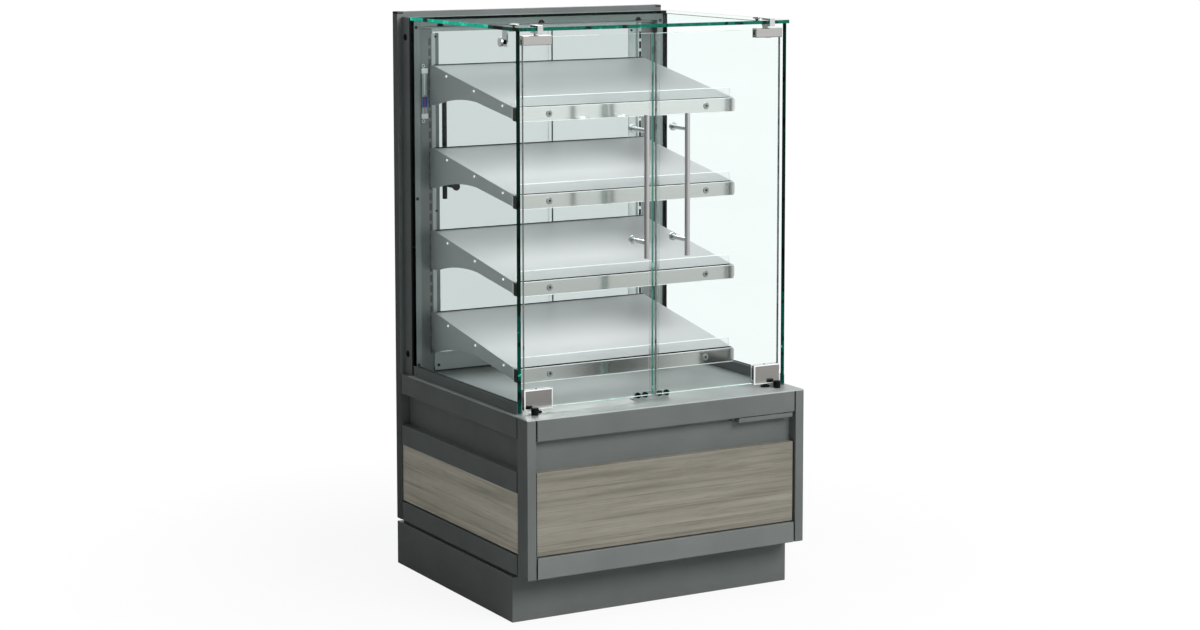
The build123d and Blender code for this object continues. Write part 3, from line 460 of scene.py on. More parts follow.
@dataclass(frozen=True)
class ClearGlass:
    """Clear sheet that passes light straight on, tinted once at each face, with a faint shine."""

    name: str
    tint: Colour
    shade: Colour
    share: float = 0.03
    rough: float = 0.02
    mirror: Colour = (0.92, 0.95, 0.95)

    def make(self) -> bpy.types.Material:
        """Build the material."""
        paint = Paint(self.name)
        shine = paint.put("ShaderNodeBsdfPrincipled", Metallic=1.0, Roughness=self.rough,
                          Base_Color=(*self.mirror, 1.0))
        clear, shadow = (paint.put("ShaderNodeBsdfTransparent", Color=(*colour, 1.0))
                         for colour in (self.tint, self.shade))
        ray = paint.put("ShaderNodeLightPath", "Is Shadow Ray")
        return paint.surface(paint.blend(ray, paint.blend(self.share, clear, shine), shadow))


@dataclass(frozen=True)
class GlassEdge:
    """Ground edge of a pane, green, with dark breaks, brighter lengths painted where light gathers, and a
    painted glow where glow is set.
    """

    name: str
    dark: Colour
    mid: Colour
    bright: Colour
    stops: tuple[float, float, float] = (0.40, 0.46, 0.66)
    rough: float = 0.4
    shine: float = 0.12
    glow: float = 0.0
    scale: float = 17.0
    step: float = 0.04
    ground: Grain = Grain(900.0)
    ground_bump: Span = (0.05, 0.0001)

    def make(self) -> bpy.types.Material:
        """Build the material."""
        paint = Paint(self.name)
        first, second, third = self.stops
        stops = ((first, self.dark), (second, self.mid), (third - self.step, self.mid),
                 (third, self.bright))
        colour = paint.ramp(paint.noise(Grain(self.scale, 3.0, 0.6)), stops)
        light = {"Emission_Color": colour, "Emission_Strength": self.glow} if self.glow else {}
        return paint.principled(Roughness=self.rough, Specular_IOR_Level=self.shine, Base_Color=colour,
                                Normal=paint.bump(paint.noise(self.ground), *self.ground_bump), **light)


@dataclass(frozen=True)
class Moulded:
    """Moulded plastic or rubber with a fine texture, and a painted glow where glow is set."""

    name: str
    colour: Colour
    rough: float
    grain: float = 0.12
    shine: float = 0.5
    glow: float = 0.0
    dark_share: float = 0.88
    grain_depth: float = 0.0002
    cloud: Grain = Grain(30.0, 3.0)
    fine: Grain = Grain(1400.0)

    def make(self) -> bpy.types.Material:
        """Build the material."""
        paint = Paint(self.name)
        dark = tone(self.colour, self.dark_share)
        return paint.principled(
            Roughness=self.rough, Specular_IOR_Level=self.shine,
            Emission_Color=(*self.colour, 1.0), Emission_Strength=self.glow,
            Base_Color=paint.mottle(paint.noise(self.cloud), dark, self.colour),
            Normal=paint.bump(paint.noise(self.fine), self.grain, self.grain_depth))


LENGTHWAYS = (4.0, 260.0, 260.0)


@dataclass
class Finishes:
    """Every finish on the case, built once."""

    base: PowderCoat = PowderCoat("base_coat", (0.158, 0.172, 0.168))
    # Base coat made lighter for the low front rail: painted light, where the rail gets less light
    rail_painted_light: PowderCoat = PowderCoat("low_rail_coat", (0.205, 0.221, 0.216))
    frame: PowderCoat = PowderCoat("frame_coat", (0.150, 0.166, 0.162))
    # Frame coat made darker for the portal's outer sides: painted shade
    shade: PowderCoat = PowderCoat("frame_side_coat", (0.082, 0.090, 0.088), 0.5, 0.06, 0.1)
    upright: PowderCoat = PowderCoat("upright_coat", (0.27, 0.295, 0.29))
    lining: PowderCoat = PowderCoat("lining_coat", (0.26, 0.295, 0.287))
    jamb: PowderCoat = PowderCoat("jamb_coat", (0.78, 0.83, 0.82), 0.4, 0.02, 0.0)
    deck: PowderCoat = PowderCoat("deck_coat", (0.385, 0.415, 0.406), 0.40, 0.03, 0.25)
    # Pale coat for the back panel, lifted to make up for the shade at the low rear: painted light
    panel: PowderCoat = PowderCoat("panel_coat", (0.62, 0.69, 0.675), 0.36, 0.03, 0.2)
    # Brownish dark for the slot walls of the left upright: painted shade in the slots
    slot_wall: Moulded = Moulded("slot_wall", (0.15, 0.135, 0.13), 0.5, 0.0)
    oak: OakLaminate = OakLaminate("oak_laminate", (0.300, 0.284, 0.236), (0.238, 0.225, 0.185),
                                   (0.160, 0.148, 0.120))
    # Oak laminate made lighter for the side panels: painted light on the front's laminate
    oak_side_painted_light: OakLaminate = OakLaminate("oak_laminate_side", (0.62, 0.585, 0.485), (0.49, 0.462, 0.38),
                                        (0.335, 0.31, 0.25))
    shelf: Steel = Steel("shelf_steel", (0.735, 0.735, 0.74), 0.38, metal=0.12)
    bracket: Steel = Steel("bracket_steel", (0.60, 0.64, 0.635), 0.42, (260.0, 4.0, 260.0), metal=0.15)
    polished: Steel = Steel("polished_steel", (0.80, 0.80, 0.79), 0.10, LENGTHWAYS, 0.02, 0.03)
    satin: Steel = Steel("satin_steel", (0.58, 0.565, 0.55), 0.13, LENGTHWAYS, 0.01)
    ticket: Steel = Steel("rail_steel", (0.86, 0.865, 0.85), 0.11, LENGTHWAYS, 0.004, 0.03)
    # White on the rims of the rails, patches and seals: painted highlights
    bright: Moulded = Moulded("painted_highlight_rim", (0.93, 0.935, 0.93), 0.25, 0.0)
    fastener: Steel = Steel("fastener_steel", (0.34, 0.36, 0.36), 0.3, (90.0, 90.0, 90.0), 0.02, 0.02, 0.6)
    # White rivet heads with a glow: a painted highlight on their domes
    rivet: Moulded = Moulded("rivet_head", (0.93, 0.94, 0.94), 0.18, 0.0, 1.0, 0.55)
    # Black: the real colour of the catch's buffers, and painted shade in slots, notches, shelf lips and
    # rail tops
    gap: Moulded = Moulded("black_and_painted_shade", (0.005, 0.006, 0.006), 0.6, 0.0, 0.0)
    bar: Steel = Steel("bar_steel", (0.66, 0.66, 0.66), 0.28, (260.0, 260.0, 4.0), 0.02, 0.05)
    glass: ClearGlass = ClearGlass("pane_glass", (0.978, 0.996, 0.992), (0.95, 0.965, 0.96), 0.012)
    top: ClearGlass = ClearGlass("top_pane_glass", (0.965, 0.992, 0.985), (0.37, 0.41, 0.40), 0.02)
    rear: ClearGlass = ClearGlass("rear_pane_glass", (0.795, 0.828, 0.824), (0.90, 0.92, 0.915), 0.012)
    bare: ClearGlass = ClearGlass("pane_overlap", (0.985, 0.992, 0.99), (0.97, 0.97, 0.97), 0.005)
    # Green pane edges in lit and shaded copies, given to each edge by how light falls on it: painted light
    # and shade over the glass's green, some with a painted glow
    edge: GlassEdge = GlassEdge("pane_edge", (0.0, 0.006, 0.004), (0.0, 0.115, 0.075), (0.0, 0.30, 0.20),
                                (0.42, 0.48, 0.66), scale=26.0)
    lit_edge: GlassEdge = GlassEdge("pane_edge_lit", (0.0, 0.03, 0.02), (0.0, 0.42, 0.28),
                                    (0.02, 0.66, 0.46), (0.36, 0.41, 0.60), glow=0.5)
    dark_edge: GlassEdge = GlassEdge("pane_edge_dark", (0.0, 0.001, 0.001), (0.001, 0.012, 0.008),
                                     (0.004, 0.30, 0.20), (0.40, 0.46, 0.71), 0.5, 0.03)
    low_edge: GlassEdge = GlassEdge("pane_edge_low", (0.0, 0.006, 0.004), (0.0, 0.036, 0.024),
                                    (0.02, 0.60, 0.42), (0.40, 0.46, 0.68), 0.5, 0.03, 0.4, 34.0)
    pale_edge: GlassEdge = GlassEdge("pane_edge_pale", (0.34, 0.50, 0.45), (0.60, 0.76, 0.71),
                                     (0.90, 0.97, 0.95), glow=0.3)
    mint_edge: GlassEdge = GlassEdge("pane_edge_mint", (0.05, 0.19, 0.15), (0.12, 0.38, 0.30),
                                     (0.35, 0.80, 0.68), glow=0.2)
    grey_edge: GlassEdge = GlassEdge("pane_edge_grey", (0.20, 0.23, 0.225), (0.46, 0.50, 0.49),
                                     (0.66, 0.72, 0.70))
    dim_edge: GlassEdge = GlassEdge("pane_edge_dim", (0.12, 0.15, 0.143), (0.24, 0.29, 0.275),
                                    (0.40, 0.48, 0.455))
    # Light rims of the clear shelf stops: painted highlights that glow
    stop_painted_highlight: GlassEdge = GlassEdge("stop_painted_highlight", (0.84, 0.88, 0.87), (0.88, 0.92, 0.91),
                                     (0.94, 0.97, 0.96), glow=0.25)
    clear: ClearGlass = ClearGlass("clear_plastic", (0.965, 0.972, 0.97), (0.95, 0.95, 0.95), 0.02, 0.08)
    seal: ClearGlass = ClearGlass("seal_plastic", (0.965, 0.975, 0.972), (0.96, 0.97, 0.965), 0.035, 0.3)
    rubber: Moulded = Moulded("black_rubber", (0.004, 0.0045, 0.0045), 0.5, 0.12, 0.12)
    plastic: Moulded = Moulded("black_plastic", (0.016, 0.017, 0.017), 0.38, 0.2)
    # White plastic with a faint glow: painted light
    white: Moulded = Moulded("white_plastic", (0.90, 0.92, 0.92), 0.3, 0.05, 0.5, 0.12)
    heater: Moulded = Moulded("heater_cover", (0.11, 0.115, 0.115), 0.5)
    blue: Moulded = Moulded("scale_blue", (0.01, 0.13, 0.52), 0.35, 0.03)
    red: Moulded = Moulded("scale_red", (0.75, 0.04, 0.03), 0.3, 0.03)
    scale: Moulded = Moulded("scale_plate", (0.55, 0.68, 0.67), 0.3, 0.03)
    made: dict[str, bpy.types.Material] = field(default_factory=dict)

    def get(self, names: Iterable[str]) -> list[bpy.types.Material]:
        """Materials of some finishes, each built on first use.

        Args:
            names: The fields that hold the finishes.

        Returns:
            The materials.
        """
        for name in names:
            if name not in self.made:
                self.made[name] = getattr(self, name).make()
        return [self.made[name] for name in names]


# Meshes
def link_object(name: str, mesh: bpy.types.Mesh) -> bpy.types.Object:
    """Object at the origin that shows a mesh.

    Args:
        name: The object's name.
        mesh: Its mesh.

    Returns:
        The object.
    """
    made = bpy.data.objects.new(name, mesh)
    bpy.context.scene.collection.objects.link(made)
    return made


def soften(mesh: bpy.types.Mesh, angle: float) -> None:
    """Shade a mesh smooth.

    Args:
        mesh: The mesh.
        angle: Edges sharper than this stay sharp, in degrees.
    """
    mesh.shade_smooth()
    mesh.set_sharp_from_angle(angle=math.radians(angle))


def evaluated(made: bpy.types.Object) -> bpy.types.Mesh:
    """Mesh of an object with its modifiers applied.

    Args:
        made: The object.

    Returns:
        The new mesh.
    """
    return bpy.data.meshes.new_from_object(made.evaluated_get(bpy.context.evaluated_depsgraph_get()))


def bevel_sharp(bm: Solid, width: float, segments: int = 2) -> None:
    """Round the sharp edges of a mesh.

    Args:
        bm: The mesh.
        width: Width of the rounding.
        segments: Faces across it.
    """
    limit = math.radians(ROUNDED)
    sharp = [e for e in bm.edges if len(e.link_faces) == 2 and e.calc_face_angle(0.0) > limit]
    if sharp:
        bmesh.ops.bevel(bm, geom=sharp, offset=width, offset_type="OFFSET", segments=segments,
                        profile=0.5, affect="EDGES", clamp_overlap=True)


def part_faces(bm: Solid, point: Vector, direction: Vector) -> None:
    """Part the faces of a mesh along a plane.

    Args:
        bm: The mesh.
        point: A point of the plane.
        direction: Square to the plane.
    """
    bmesh.ops.bisect_plane(bm, geom=bm.verts[:] + bm.edges[:] + bm.faces[:], dist=ON_CUT, plane_co=point,
                           plane_no=direction)


def clean_copy(node: str) -> Solid:
    """Merged copy of a CAD node's mesh with its flat faces joined up.

    Args:
        node: The CAD node.

    Returns:
        The copy.
    """
    bm = bmesh.new()
    bm.from_mesh(bpy.data.objects[node].data)
    bmesh.ops.remove_doubles(bm, verts=bm.verts, dist=MERGED)
    bmesh.ops.dissolve_limit(bm, angle_limit=math.radians(FLAT), verts=bm.verts, edges=bm.edges)
    return bm


def finish_mesh(name: str, bm: Solid, materials: Iterable[bpy.types.Material],
                angle: float = SHARP) -> bpy.types.Object:
    """Turn a built mesh into an object.

    Args:
        name: The object's name.
        bm: The mesh, which is freed.
        materials: Its materials, by face index.
        angle: Edges sharper than this stay sharp, in degrees.

    Returns:
        The object.
    """
    mesh = bpy.data.meshes.new(name)
    bm.to_mesh(mesh)
    bm.free()
    for material in materials:
        mesh.materials.append(material)
    soften(mesh, angle)
    made = link_object(name, mesh)
    level = made.modifiers.new("level_faces", "WEIGHTED_NORMAL")
    level.keep_sharp = True
    flat = evaluated(made)
    made.modifiers.clear()
    made.data = flat
    bpy.data.meshes.remove(mesh)
    flat.name = name
    return made


def add_block(bm: Solid, lowest: Place, highest: Place, index: int = 0) -> list[bmesh.types.BMVert]:
    """Add a box.

    Args:
        bm: The mesh to add to.
        lowest: Its lowest corner.
        highest: Its highest corner.
        index: Material index.

    Returns:
        The new corners.
    """
    size = Vector(highest) - Vector(lowest)
    centre = (Vector(highest) + Vector(lowest)) / 2
    matrix = Matrix.Translation(centre) @ Matrix.Diagonal((*size, 1.0))
    verts = bmesh.ops.create_cube(bm, size=1.0, matrix=matrix)["verts"]
    for face in {f for v in verts for f in v.link_faces}:
        face.material_index = index
    return verts


def join_rings(bm: Solid, rings: Sequence[Sequence[bmesh.types.BMVert]], index: int) -> None:
    """Add the faces between neighbouring rings of points.

    Args:
        bm: The mesh to add to.
        rings: Closed rings with the same number of points.
        index: Material index.
    """
    count = len(rings[0])
    for one, other in zip(rings, rings[1:]):
        for step in range(count):
            after = (step + 1) % count
            bm.faces.new((one[step], one[after], other[after], other[step])).material_index = index


def add_turned(bm: Solid, centre: Place, facing: Matrix, outline: Sequence[Span], sides: int,
               index: int = 0) -> None:
    """Add a turned piece: rings of radius at heights along its axis, closed at both ends.

    Args:
        bm: The mesh to add to.
        centre: Foot of the piece.
        facing: Rotation that takes +Z to the axis.
        outline: Pairs of radius and height, from foot to top.
        sides: Points on each ring.
        index: Material index.
    """
    place = Matrix.Translation(Vector(centre)) @ facing
    turns = [2 * math.pi * step / sides for step in range(sides)]
    rings = [[bm.verts.new(place @ Vector((radius * math.cos(turn), radius * math.sin(turn), height)))
              for turn in turns] for radius, height in outline]
    for end in (list(reversed(rings[0])), rings[-1]):
        bm.faces.new(end).material_index = index
    join_rings(bm, rings, index)


def add_ring(bm: Solid, centre: Place, radius: float, wire: float, around: int = 24,
             across: int = 8) -> None:
    """Add a closed wire ring that stands in the XZ plane.

    Args:
        bm: The mesh to add to.
        centre: Its middle.
        radius: Radius of the wire's middle line.
        wire: Radius of the wire.
        around: Steps round the ring.
        across: Steps round the wire.
    """
    rolls = [2 * math.pi * step / across for step in range(across)]
    rings = []
    for step in range(around):
        turn = 2 * math.pi * step / around
        out = Vector((math.cos(turn), 0.0, math.sin(turn)))
        rings.append([bm.verts.new(Vector(centre) + out * (radius + wire * math.cos(roll))
                                   + Vector((0.0, wire * math.sin(roll), 0.0))) for roll in rolls])
    join_rings(bm, rings + rings[:1], 0)


# Repeated fasteners by geometry nodes
class Repeater(Tree):
    """Geometry-nodes tree that puts a crowned head with a hexagonal socket on every point of a mesh."""

    KINDS = {"Geometry": "Geometry", "Radius": "Float", "Height": "Float", "Crown": "Float",
             "Socket Radius": "Float", "Facing": "Vector", "Head Finish": "Material",
             "Socket Finish": "Material"}
    ROUND_SIDES, HEXAGON_SIDES = 28, 6
    CROWN_SHARE, SOCKET_SINK = 0.86, -0.46
    SHARP_HEAD = 40.0

    def __init__(self, name: str) -> None:
        """Build the tree.

        Args:
            name: The tree's name.
        """
        super().__init__(bpy.data.node_groups.new(name, "GeometryNodeTree"))
        face = self.tree.interface
        face.new_socket(name="Geometry", in_out="OUTPUT", socket_type="NodeSocketGeometry")
        self.inputs = {label: face.new_socket(name=label, in_out="INPUT",
                                              socket_type=f"NodeSocket{kind}").identifier
                       for label, kind in self.KINDS.items()}
        given = self.node("NodeGroupInput").outputs
        radius, height, crown = given["Radius"], given["Height"], given["Crown"]
        disc = self.put("GeometryNodeMeshCylinder", Vertices=self.ROUND_SIDES, Radius=radius, Depth=height)
        dome = self.put("GeometryNodeMeshCone", Vertices=self.ROUND_SIDES, Radius_Bottom=radius,
                        Radius_Top=self.math("MULTIPLY", radius, self.CROWN_SHARE), Depth=crown)
        hexagon = self.put("GeometryNodeMeshCylinder", Vertices=self.HEXAGON_SIDES, Depth=crown,
                           Radius=given["Socket Radius"])
        top = self.math("MULTIPLY_ADD", height, 0.5, crown)
        head = self.joined([disc, self.raised(dome, self.math("MULTIPLY", height, 0.5))])
        recess = self.raised(hexagon, self.math("MULTIPLY_ADD", crown, self.SOCKET_SINK, top))
        both = self.joined([self.put("GeometryNodeSetMaterial", Geometry=mesh, Material=given[finish])
                            for mesh, finish in ((head, "Head Finish"), (recess, "Socket Finish"))])
        turn = self.put("FunctionNodeAlignRotationToVector", axis="Z", Vector=given["Facing"])
        heads = self.put("GeometryNodeInstanceOnPoints", Points=given["Geometry"], Instance=both,
                         Rotation=turn)
        self.node("NodeGroupOutput", Geometry=self.put("GeometryNodeRealizeInstances", Geometry=heads))

    def raised(self, mesh: Socket, rise: Socket) -> Socket:
        """Raise a mesh.

        Args:
            mesh: The mesh socket.
            rise: How far.

        Returns:
            The raised mesh.
        """
        shift = self.put("ShaderNodeCombineXYZ", Z=rise)
        return self.put("GeometryNodeTransform", Geometry=mesh, Translation=shift)

    def joined(self, meshes: list[Socket]) -> Socket:
        """Join meshes.

        Args:
            meshes: The mesh sockets.

        Returns:
            The joined mesh.
        """
        return self.put("GeometryNodeJoinGeometry", Geometry=meshes)

    def place(self, name: str, points: Sequence[Place], values: dict[str, object],
              body: str) -> bpy.types.Object:
        """Make the heads at a list of points.

        Args:
            name: The new object's name.
            points: Where each head's foot is.
            values: Input values by name.
            body: The CAD body that it rides on.

        Returns:
            The plain mesh object.
        """
        seed = bpy.data.meshes.new(name + "_points")
        seed.from_pydata([tuple(p) for p in points], [], [])
        source = link_object(name + "_source", seed)
        modifier = source.modifiers.new("repeat", "NODES")
        modifier.node_group = self.tree
        for label, value in values.items():
            modifier[self.inputs[label]] = value
        mesh = evaluated(source)
        bpy.data.objects.remove(source)
        mesh.name = name
        soften(mesh, self.SHARP_HEAD)
        made = link_object(name, mesh)
        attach(made, body)
        return made


@dataclass
class Workshop:
    """What every sub-assembly needs: the finishes, the repeater and ways to make pieces."""

    finishes: Finishes
    heads: Repeater
    socket_share: float = 0.42

    def replace(self, node: str, bm: Solid, finishes: Sequence[str], body: str = CASE, name: str = "",
                angle: float = SHARP) -> None:
        """Turn a mesh into the piece that stands for a CAD node.

        Args:
            node: The CAD node.
            bm: The mesh.
            finishes: Finish field names, by face index.
            body: The body that it rides on.
            name: The piece's name, where it isn't the node's with an ending.
            angle: Edges sharper than this stay sharp, in degrees.
        """
        made = finish_mesh(name or node + "_dressed", bm, self.finishes.get(finishes), angle)
        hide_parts(node)
        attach(made, body)

    def dress(self, node: str, *finishes: str, body: str = CASE, bevel: float = 0.0006,
              pick: Callable[[bmesh.types.BMFace], int] | None = None,
              cuts: Iterable[tuple[int, float]] = ()) -> None:
        """Replace a CAD node by a copy with rounded edges and a better finish.

        Args:
            node: The CAD node.
            finishes: Finish field names.
            body: The body that it rides on.
            bevel: Width of the rounding.
            pick: Function that gives a face's place among the finishes, where there are several.
            cuts: Axis and place of planes that part its faces first.
        """
        bm = clean_copy(node)
        for axis, place in cuts:
            across = Vector((0.0, 0.0, 0.0))
            across[axis] = 1.0
            part_faces(bm, across * place, across)
        bevel_sharp(bm, bevel)
        bm.normal_update()
        for face in bm.faces if pick else ():
            face.material_index = pick(face)
        self.replace(node, bm, finishes, body)

    def screws(self, name: str, points: Sequence[Place], facing: Facing, radius: float, finish: str,
               height: float = 0.0006, crown: float = 0.0010, socket: str = "plastic") -> None:
        """Socket screws at a list of points on the case.

        Args:
            name: The new object's name.
            points: Where each head sits.
            facing: The direction that they face.
            radius: Radius of the head.
            finish: Finish of the head.
            height: Height of the straight rim.
            crown: Height of the crown.
            socket: Finish of the hexagon in its middle.
        """
        head, inner = self.finishes.get((finish, socket))
        values = {"Radius": radius, "Height": height, "Crown": crown, "Facing": facing.value,
                  "Socket Radius": radius * self.socket_share, "Head Finish": head, "Socket Finish": inner}
        self.heads.place(name, points, values, CASE)

    def build(self, name: str, fill: Callable[[Solid], None], finishes: Sequence[str], slot: str = "",
              body: str = CASE, bevel: float = 0.0) -> bpy.types.Object:
        """Build a new piece.

        Args:
            name: The piece's name.
            fill: Function that fills its mesh.
            finishes: Finish field names, by face index.
            slot: Not used.
            body: The body that it rides on.
            bevel: Rounding of its sharp edges.

        Returns:
            The object.
        """
        bm = bmesh.new()
        fill(bm)
        if bevel:
            bevel_sharp(bm, bevel)
        made = finish_mesh(name, bm, self.finishes.get(finishes))
        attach(made, body)
        return made


# Sub-assemblies
@dataclass
class Base:
    """Plinth, panelled base and deck."""

    shop: Workshop
    edge: float = 0.0008
    wood_edge: float = 0.0005
    thin_edge: float = 0.0004
    guide_edge: float = 0.0003
    screw_radius: float = 0.0035
    screw_heights: tuple[float, float, float] = (0.124, 0.262, 0.400)
    screw_back: float = 0.038
    screw_sink: float = 0.0006
    screw_head: Span = (0.0004, 0.0003)
    cover_x: Span = (-0.0300, -0.0007)
    cover_y: Span = (0.0003, 0.0011)
    cover_z: Span = (-0.0004, 0.0002)
    cover_edge: float = 0.0002
    lip_left: float = -0.0110
    lip_front: float = -0.0014
    lip_z: Span = (0.0010, 0.0034)

    def panels(self) -> None:
        """Coated sheets and wood panels."""
        dress = self.shop.dress
        for node in ("plinth", "base_pan", "fascia", "front_recess", "side_frame_l", "side_frame_r",
                     "front_post_l", "front_post_r"):
            dress(node, "base", bevel=self.edge)
        # The front rail wears the lighter copy of the base coat, as painted light
        dress("front_rail", "rail_painted_light", bevel=self.edge)
        dress("front_wood", "oak", bevel=self.wood_edge)
        # The side panels wear the lighter oak, as painted light
        for node in ("side_wood_l", "side_wood_r"):
            dress(node, "oak_side_painted_light", bevel=self.wood_edge)
        dress("deck", "deck", bevel=self.thin_edge)
        dress("deck_heater", "heater")
        dress("tray", "base", body="crumb_tray", bevel=self.thin_edge)
        dress("tray_guide", "shelf", bevel=self.guide_edge)

    def screws(self) -> None:
        """Screws on the sides of the front posts."""
        for side, letter in SIDES:
            post = f"front_post_{letter}"
            face = outermost(post, side) - side * self.screw_sink
            points = [(face, low(post).y + self.screw_back, z) for z in self.screw_heights]
            self.shop.screws(f"post_screws_{letter}", points, Facing.outward(side), self.screw_radius,
                             "plastic", *self.screw_head)

    def slot_cover(self, bm: Solid) -> None:
        """Plate behind the open end of the tray slot, with a small finger lip.

        Args:
            bm: The mesh to fill.
        """
        tray, top, back = low("tray"), high("tray").z, low("front_recess").y
        left, right = (tray.x + step for step in self.cover_x)
        front, rear = (back + step for step in self.cover_y)
        add_block(bm, (left, front, tray.z + self.cover_z[0]), (right, rear, top + self.cover_z[1]))
        foot, head = (tray.z + step for step in self.lip_z)
        add_block(bm, (tray.x + self.lip_left, back + self.lip_front, foot), (right, front, head))

    def assemble(self) -> None:
        """Build everything."""
        self.panels()
        self.screws()
        self.shop.build("tray_slot_cover", self.slot_cover, ["base"], "base_metal", bevel=self.cover_edge)


@dataclass
class RearFrame:
    """Portal, columns, uprights and gasket."""

    shop: Workshop
    edge: float = 0.0005
    thin_edge: float = 0.0004
    jamb_edge: float = 0.0003
    slot_edge: float = 0.0002
    cap_edge: float = 0.001
    plug_heights: Span = (1.293, 0.5256)
    plug_back: float = 0.0253
    plug_outline: tuple[Span, ...] = ((0.008, -0.0002), (0.008, 0.0010), (0.00688, 0.0019), (0.004, 0.0023))
    plug_sides: int = 28
    jamb_place: float = 0.2877
    strip_place: float = 0.2738
    slot_inner: float = 0.2905
    slot_outer: float = 0.2970
    slot_wall: float = 0.00008
    slot_margin: float = 0.004
    slot_slack: float = 0.0006
    strip_laps: Span = (0.0008, 0.0006)
    strip_ends: Span = (0.04, 0.02)
    strip_back: float = 0.0013
    strip_thick: float = 0.0006
    notch_pitch: float = 0.2745
    notch_radius: float = 0.0092
    notch_depths: Span = (0.0017, 0.0023)
    notch_steps: int = 16
    cap: tuple[float, float, float] = (0.016, 0.0006, 0.006)
    flange_place: float = 0.3387
    flange_heights: tuple[float, float, float] = (1.317, 0.905, 0.500)
    jamb_screw_place: float = 0.2730
    jamb_screw_back: float = 0.0108
    jamb_heights: tuple[float, float, float] = (1.292, 0.869, 0.530)
    panel_screw: Span = (0.2765, 0.492)
    screw_radii: tuple[float, float, float] = (0.0042, 0.003, 0.004)

    def sheets(self) -> None:
        """Coated frame pieces."""
        dress = self.shop.dress
        # The portal's side faces take the darker coat, as painted shade
        dress("portal", "frame", "shade", bevel=self.edge,
              pick=lambda face: int(abs(face.normal.x) > SQUARE))
        for node, finish, edge in (("glass_channels", "frame", self.edge),
                                   ("inner_beam", "lining", self.edge),
                                   ("back_panel", "panel", self.thin_edge),
                                   ("rear_tracks", "jamb", self.jamb_edge),
                                   ("gasket", "rubber", self.thin_edge)):
            dress(node, finish, bevel=edge)
        for side, letter in SIDES:
            self.column(side, f"column_{letter}")
            self.upright(side, f"upright_{letter}")

    def column(self, side: int, node: str) -> None:
        """Column with a pale jamb, and a grey strip beside the sliding pane.

        Args:
            side: -1 on the left, 1 on the right.
            node: The CAD node.
        """

        def pick(face: bmesh.types.BMFace) -> int:
            """Outer side, front lining, pale jamb or grey strip."""
            place = abs(face.calc_center_median().x)
            if place < self.strip_place and side < 0:
                return 1
            if place < self.jamb_place:
                return 2
            return 1 if face.normal.y < -LEANING else 0

        cuts = ((0, side * self.jamb_place), (0, side * self.strip_place))
        self.shop.dress(node, "frame", "lining", "jamb", bevel=self.thin_edge, pick=pick, cuts=cuts)

    def upright(self, side: int, node: str) -> None:
        """Slotted upright with its slot walls and a strip at the back of its slots painted dark, as shade
        in the slots.

        Args:
            side: -1 on the left, 1 on the right.
            node: The CAD node.
        """
        # Slot walls and the strip at the back of the slots are painted dark, as shade in the slots
        behind = "slot_wall" if side < 0 else "gap"
        lowest, highest = low(node), high(node)
        foot, head = lowest.z + self.slot_margin, highest.z - self.slot_margin

        def pick(face: bmesh.types.BMFace) -> int:
            """Slot walls painted dark as shade, pale beyond the slots on the right, coated elsewhere."""
            centre = face.calc_center_median()
            across = abs(centre.x)
            inside = self.slot_inner - self.slot_slack < across < self.slot_outer and foot < centre.z < head
            if inside and abs(face.normal.y) < SQUARE and face.calc_area() < self.slot_wall:
                return 2
            return 1 if side > 0 and across < self.slot_outer else 0

        def fill(bm: Solid) -> None:
            """Thin strip against the inside of the sheet, painted dark as shade in the slots."""
            inner, outer = self.slot_inner - self.strip_laps[0], self.slot_outer + self.strip_laps[1]
            xs = sorted((side * inner, side * outer))
            back = lowest.y + self.strip_back
            add_block(bm, (xs[0], back, lowest.z + self.strip_ends[0]),
                      (xs[1], back + self.strip_thick, highest.z - self.strip_ends[1]))

        cuts = ((0, side * self.slot_outer),) if side > 0 else ()
        self.shop.dress(node, "upright", "jamb", behind, bevel=self.slot_edge, pick=pick, cuts=cuts)
        self.shop.build(f"slot_lining_{node[-1]}", fill, [behind], "black_plastic")

    def notches(self, bm: Solid) -> None:
        """Half discs painted dark at the back of the three notches of the head, as shade in the notches.

        Args:
            bm: The mesh to fill.
        """
        beam = low("inner_beam")
        turns = [math.pi * step / self.notch_steps for step in range(self.notch_steps + 1)]
        for place in (-self.notch_pitch, 0.0, self.notch_pitch):
            front, rear = ([bm.verts.new((place + self.notch_radius * math.cos(turn), beam.y + depth,
                                          beam.z + self.notch_radius * math.sin(turn))) for turn in turns]
                           for depth in self.notch_depths)
            bm.faces.new(front)
            bm.faces.new(list(reversed(rear)))
            for step in range(len(turns)):
                after = (step + 1) % len(turns)
                bm.faces.new((front[after], front[step], rear[step], rear[after]))
        bmesh.ops.recalc_face_normals(bm, faces=bm.faces)

    def caps(self, bm: Solid) -> None:
        """Black caps let into the top corners of the portal.

        Args:
            bm: The mesh to fill.
        """
        lowest, highest = low("portal"), high("portal")
        width, lead, height = self.cap
        for side, _ in SIDES:
            xs = sorted((side * highest.x, side * (highest.x - width)))
            add_block(bm, (xs[0], lowest.y - lead, highest.z - height), (xs[1], highest.y, highest.z))

    def plugs(self, side: int, letter: str) -> None:
        """Round plugs in the outer side of a column, and the screws of its lining and its jamb.

        Args:
            side: -1 on the left, 1 on the right.
            letter: The column's last letter.
        """
        node = f"column_{letter}"
        front = low(node).y

        def fill(bm: Solid) -> None:
            """Two domed plugs."""
            for z in self.plug_heights:
                add_turned(bm, (outermost(node, side), front + self.plug_back, z),
                           Facing.outward(side).turn, self.plug_outline, self.plug_sides)

